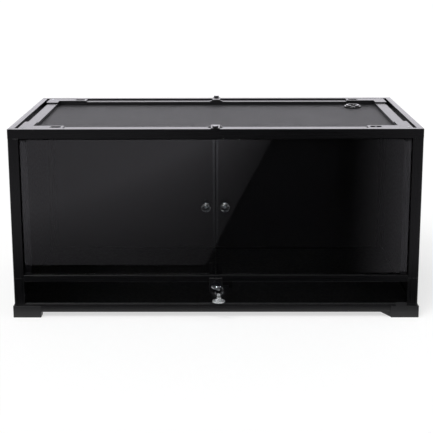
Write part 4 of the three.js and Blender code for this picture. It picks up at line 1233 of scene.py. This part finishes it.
class TERRARIUM_OT_stage(bpy.types.Operator):
    """Set the pale floor, the studio light, the reflection cards and the camera"""

    bl_idname = "terrarium.stage"
    bl_label = "Stage"

    AMBIENT = 0.55
    SUN = 1.6
    SUN_SPREAD = math.radians(35)
    SUN_TURN = (math.radians(38), 0, math.radians(-35))
    FLOOR_RADIUS = 40.0
    FLOOR_COLOUR = "#AEAEAE"
    FLOOR_GLOW = 0.62

    # The cards that the glass mirrors lie and stand this far out and up, in metres.
    CARD_COLOUR = "#FAF7FF"
    CARD_SIDE = 5.0
    CARD_FAR = -4.0
    CARD_NEAR = -0.272
    CARD_TOP = 4.5
    CARD_LIFT = 4 * MM
    FLAG_GLOW = 0.01
    APRON_REACH = 2 * MM
    APRON_GLOW = 0.2
    # The grey card grows brighter from its slanting edge, which gives the doors their diagonal.
    GREY_LIFT = 6 * MM
    GREY_OUTLINE = ((-3.0, -2.6), (0.28, -2.6), (-0.03, -0.556), (-3.0, -0.556))
    GREY_SLANT = math.atan2(0.31, 2.044)
    GREY_EDGE = (-0.1143, 0.0, 0.0)
    GREY_GLOW = (0.06, 0.36, 0.667)
    # The side card grows brighter between two directions, seen from the camera's mirror image.
    SIDE_LIFT = 5 * MM
    SIDE_SPAN = (0.3, 3.0, -3.9, -0.5)
    SIDE_EYE = (0.015, 1.924, 0.0)
    SIDE_ANGLES = (math.radians(7.2), math.radians(13.0))
    SIDE_GLOW = 0.4
    # Name, middle, half of the side and strength of each window that the knobs mirror.
    WINDOWS = (
        ("left_window", (-1.5, -2.2, 2.0), 0.26, 90.0),
        ("right_window", (1.3, -2.0, 1.7), 0.16, 60.0),
    )
    SOFTBOX_SPAN = (-1.6, 1.6, 0.45, 2.0, 3.0)
    SOFTBOX_GLOW = 2.0

    CAMERA_PLACE = (0.015, -2.323, 0.8165)
    CAMERA_PITCH = math.radians(11.46)
    CAMERA_YAW = math.radians(0.34)
    CAMERA_ROLL = math.radians(-0.15)
    CAMERA_LENS = 82.9
    CAMERA_SHIFT = -0.16

    def world(self, scene):
        scene.world = bpy.data.worlds.new("studio")
        scene.world.use_nodes = True
        tree = scene.world.node_tree
        background = tree.nodes["Background"]
        background.inputs["Color"].default_value = (1, 1, 1, 1)
        tree.links.new(seen_as(tree, 1.0, self.AMBIENT), background.inputs["Strength"])

    def sun(self, scene):
        data = bpy.data.lights.new("window_light", "SUN")
        data.energy = self.SUN
        data.angle = self.SUN_SPREAD
        lamp = bpy.data.objects.new("window_light", data)
        lamp.rotation_euler = self.SUN_TURN
        scene.collection.objects.link(lamp)

    def surfaced(self, name, shape, surface):
        """An object with a material whose surface a function builds in the material's tree."""
        material = bpy.data.materials.new(name)
        material.use_nodes = True
        tree = material.node_tree
        tree.nodes.remove(tree.nodes["Principled BSDF"])
        output = tree.nodes["Material Output"]
        tree.links.new(surface(tree).outputs[0], output.inputs["Surface"])
        made = placed(name, shape)
        made.data.materials.append(material)
        return made

    def floor(self):
        def glowing(tree):
            matt_colour = linear(self.FLOOR_COLOUR)
            matt = add_node(tree, "ShaderNodeBsdfDiffuse", inputs={"Color": matt_colour})
            strength = seen_as(tree, self.FLOOR_GLOW, 0.0)
            glow = add_node(tree, "ShaderNodeEmission", inputs={"Strength": strength})
            inputs = {0: matt.outputs[0], 1: glow.outputs[0]}
            return add_node(tree, "ShaderNodeAddShader", inputs=inputs)

        shape = bmesh.new()
        bmesh.ops.create_circle(shape, cap_ends=True, segments=96, radius=self.FLOOR_RADIUS)
        floor = self.surfaced("pale_floor", shape, glowing)
        floor.location.z = CAD_BOX[0].z

    def grey(self, tree):
        """A strength that grows with the distance from the slanting edge and along it."""
        here = add_node(tree, "ShaderNodeTexCoord")
        # Turned half round, both distances from the edge's place are positive.
        turn = (0, 0, math.pi + self.GREY_SLANT)
        inputs = {"Vector": here.outputs["Object"], "Location": self.GREY_EDGE, "Rotation": turn}
        back = add_node(tree, "ShaderNodeMapping", {"vector_type": "TEXTURE"}, inputs)
        apart = add_node(tree, "ShaderNodeSeparateXYZ", inputs={0: back.outputs["Vector"]})
        inputs = {0: apart.outputs["X"], 1: apart.outputs["Y"]}
        grown = add_node(tree, "ShaderNodeMath", {"operation": "MULTIPLY"}, inputs)
        low, high, reach = self.GREY_GLOW
        inputs = {"Value": grown.outputs[0], "From Max": reach, "To Min": low, "To Max": high}
        return add_node(tree, "ShaderNodeMapRange", inputs=inputs).outputs["Result"]

    def fanned(self, tree):
        """A strength that rises smoothly between two directions seen from a place."""
        here = add_node(tree, "ShaderNodeTexCoord")
        turn = (0, 0, -math.pi / 2)
        inputs = {"Vector": here.outputs["Object"], "Location": self.SIDE_EYE, "Rotation": turn}
        centred = add_node(tree, "ShaderNodeMapping", {"vector_type": "TEXTURE"}, inputs)
        inputs = {0: centred.outputs[0]}
        fan = add_node(tree, "ShaderNodeTexGradient", {"gradient_type": "RADIAL"}, inputs)
        start, end = (0.5 + angle / FULL_TURN for angle in self.SIDE_ANGLES)
        inputs = {"Value": fan.outputs["Fac"], "From Min": start, "From Max": end}
        inputs["To Max"] = self.SIDE_GLOW
        smooth = {"interpolation_type": "SMOOTHSTEP"}
        return add_node(tree, "ShaderNodeMapRange", smooth, inputs).outputs["Result"]

    def card(self, name, outline, strength):
        """A flat card that shows only after a reflection, so nothing hides behind it."""

        def mirrored(tree):
            path = add_node(tree, "ShaderNodeLightPath")
            clamped = {"operation": "ADD", "use_clamp": True}
            inputs = {0: path.outputs["Glossy Depth"], 1: path.outputs["Diffuse Depth"]}
            reflected = add_node(tree, "ShaderNodeMath", clamped, inputs)
            nothing = add_node(tree, "ShaderNodeBsdfTransparent")
            power = strength(tree) if callable(strength) else strength
            inputs = {"Color": linear(self.CARD_COLOUR), "Strength": power}
            glow = add_node(tree, "ShaderNodeEmission", inputs=inputs)
            inputs = {0: reflected.outputs[0], 1: nothing.outputs[0], 2: glow.outputs[0]}
            return add_node(tree, "ShaderNodeMixShader", inputs=inputs)

        shape = bmesh.new()
        shape.faces.new([shape.verts.new(point) for point in outline])
        card = self.surfaced(name, shape, mirrored)
        card.visible_camera = card.visible_diffuse = card.visible_shadow = False
        card.visible_volume_scatter = False

    def cards(self):
        rest = CAD_BOX[0].z
        side, far, near = self.CARD_SIDE, self.CARD_FAR, self.CARD_NEAR
        height = rest + self.CARD_LIFT
        self.card("black_card", level(-side, side, far, near, height), 0.0)
        flag = upright(-side, side, height, self.CARD_TOP, far)
        self.card("black_flag", flag, self.FLAG_GLOW)
        front = CAD_BOX[0].y - self.APRON_REACH
        self.card("apron_card", level(-side, side, near, front, height), self.APRON_GLOW)
        pale = [(x, y, rest + self.GREY_LIFT) for x, y in self.GREY_OUTLINE]
        self.card("grey_card", pale, self.grey)
        self.card("side_card", level(*self.SIDE_SPAN, rest + self.SIDE_LIFT), self.fanned)
        for name, (x, y, z), half, strength in self.WINDOWS:
            self.card(name, upright(x - half, x + half, z - half, z + half, y), strength)
        self.card("back_softbox", upright(*self.SOFTBOX_SPAN), self.SOFTBOX_GLOW)

    def camera(self, scene):
        data = bpy.data.cameras.new("camera")
        data.lens = self.CAMERA_LENS
        data.shift_y = self.CAMERA_SHIFT
        camera = bpy.data.objects.new("camera", data)
        turn = Matrix.Rotation(self.CAMERA_YAW, 4, "Z")
        turn @= Matrix.Rotation(math.pi / 2 - self.CAMERA_PITCH, 4, "X")
        turn @= Matrix.Rotation(self.CAMERA_ROLL, 4, "Z")
        camera.matrix_world = Matrix.Translation(self.CAMERA_PLACE) @ turn
        scene.collection.objects.link(camera)
        scene.camera = camera

    def execute(self, context):
        scene = context.scene
        scene.view_settings.view_transform = "Standard"
        self.world(scene)
        self.sun(scene)
        self.floor()
        self.cards()
        self.camera(scene)
        return {"FINISHED"}


# ---------------------------------------------------------------- add-on

STEPS = (
    TERRARIUM_OT_stage,
    TERRARIUM_OT_frame_profiles,
    TERRARIUM_OT_feet,
    TERRARIUM_OT_panels,
    TERRARIUM_OT_lower_pane,
    TERRARIUM_OT_inner_seals,
    TERRARIUM_OT_cam_lock,
    TERRARIUM_OT_key_and_fob,
    TERRARIUM_OT_doors,
    TERRARIUM_OT_knobs,
    TERRARIUM_OT_lid_mouldings,
    TERRARIUM_OT_lid_mesh,
    TERRARIUM_OT_grommet,
    TERRARIUM_OT_lid_locks,
)


class TERRARIUM_PT_sidebar(bpy.types.Panel):
    """Buttons and settings for the cabinet"""

    bl_label = "Terrarium Cabinet"
    bl_idname = "TERRARIUM_PT_sidebar"
    bl_space_type = "VIEW_3D"
    bl_region_type = "UI"
    bl_category = "Terrarium"

    def draw(self, context):
        for step in STEPS:
            self.layout.operator(step.bl_idname)
        for group in settings(context):
            box = self.layout.box()
            for name in group.__annotations__:
                box.prop(group, name)


CLASSES = (TerrariumSizes, TerrariumColours, *STEPS, TERRARIUM_PT_sidebar)


def register():
    for cls in CLASSES:
        bpy.utils.register_class(cls)
    bpy.types.Scene.terrarium_sizes = bpy.props.PointerProperty(type=TerrariumSizes)
    bpy.types.Scene.terrarium_colours = bpy.props.PointerProperty(type=TerrariumColours)


def unregister():
    del bpy.types.Scene.terrarium_colours
    del bpy.types.Scene.terrarium_sizes
    for cls in reversed(CLASSES):
        bpy.utils.unregister_class(cls)


def main():
    register()
    for step in STEPS:
        group, name = step.bl_idname.split(".")
        getattr(getattr(bpy.ops, group), name)()


if __name__ == "__main__":
    main()
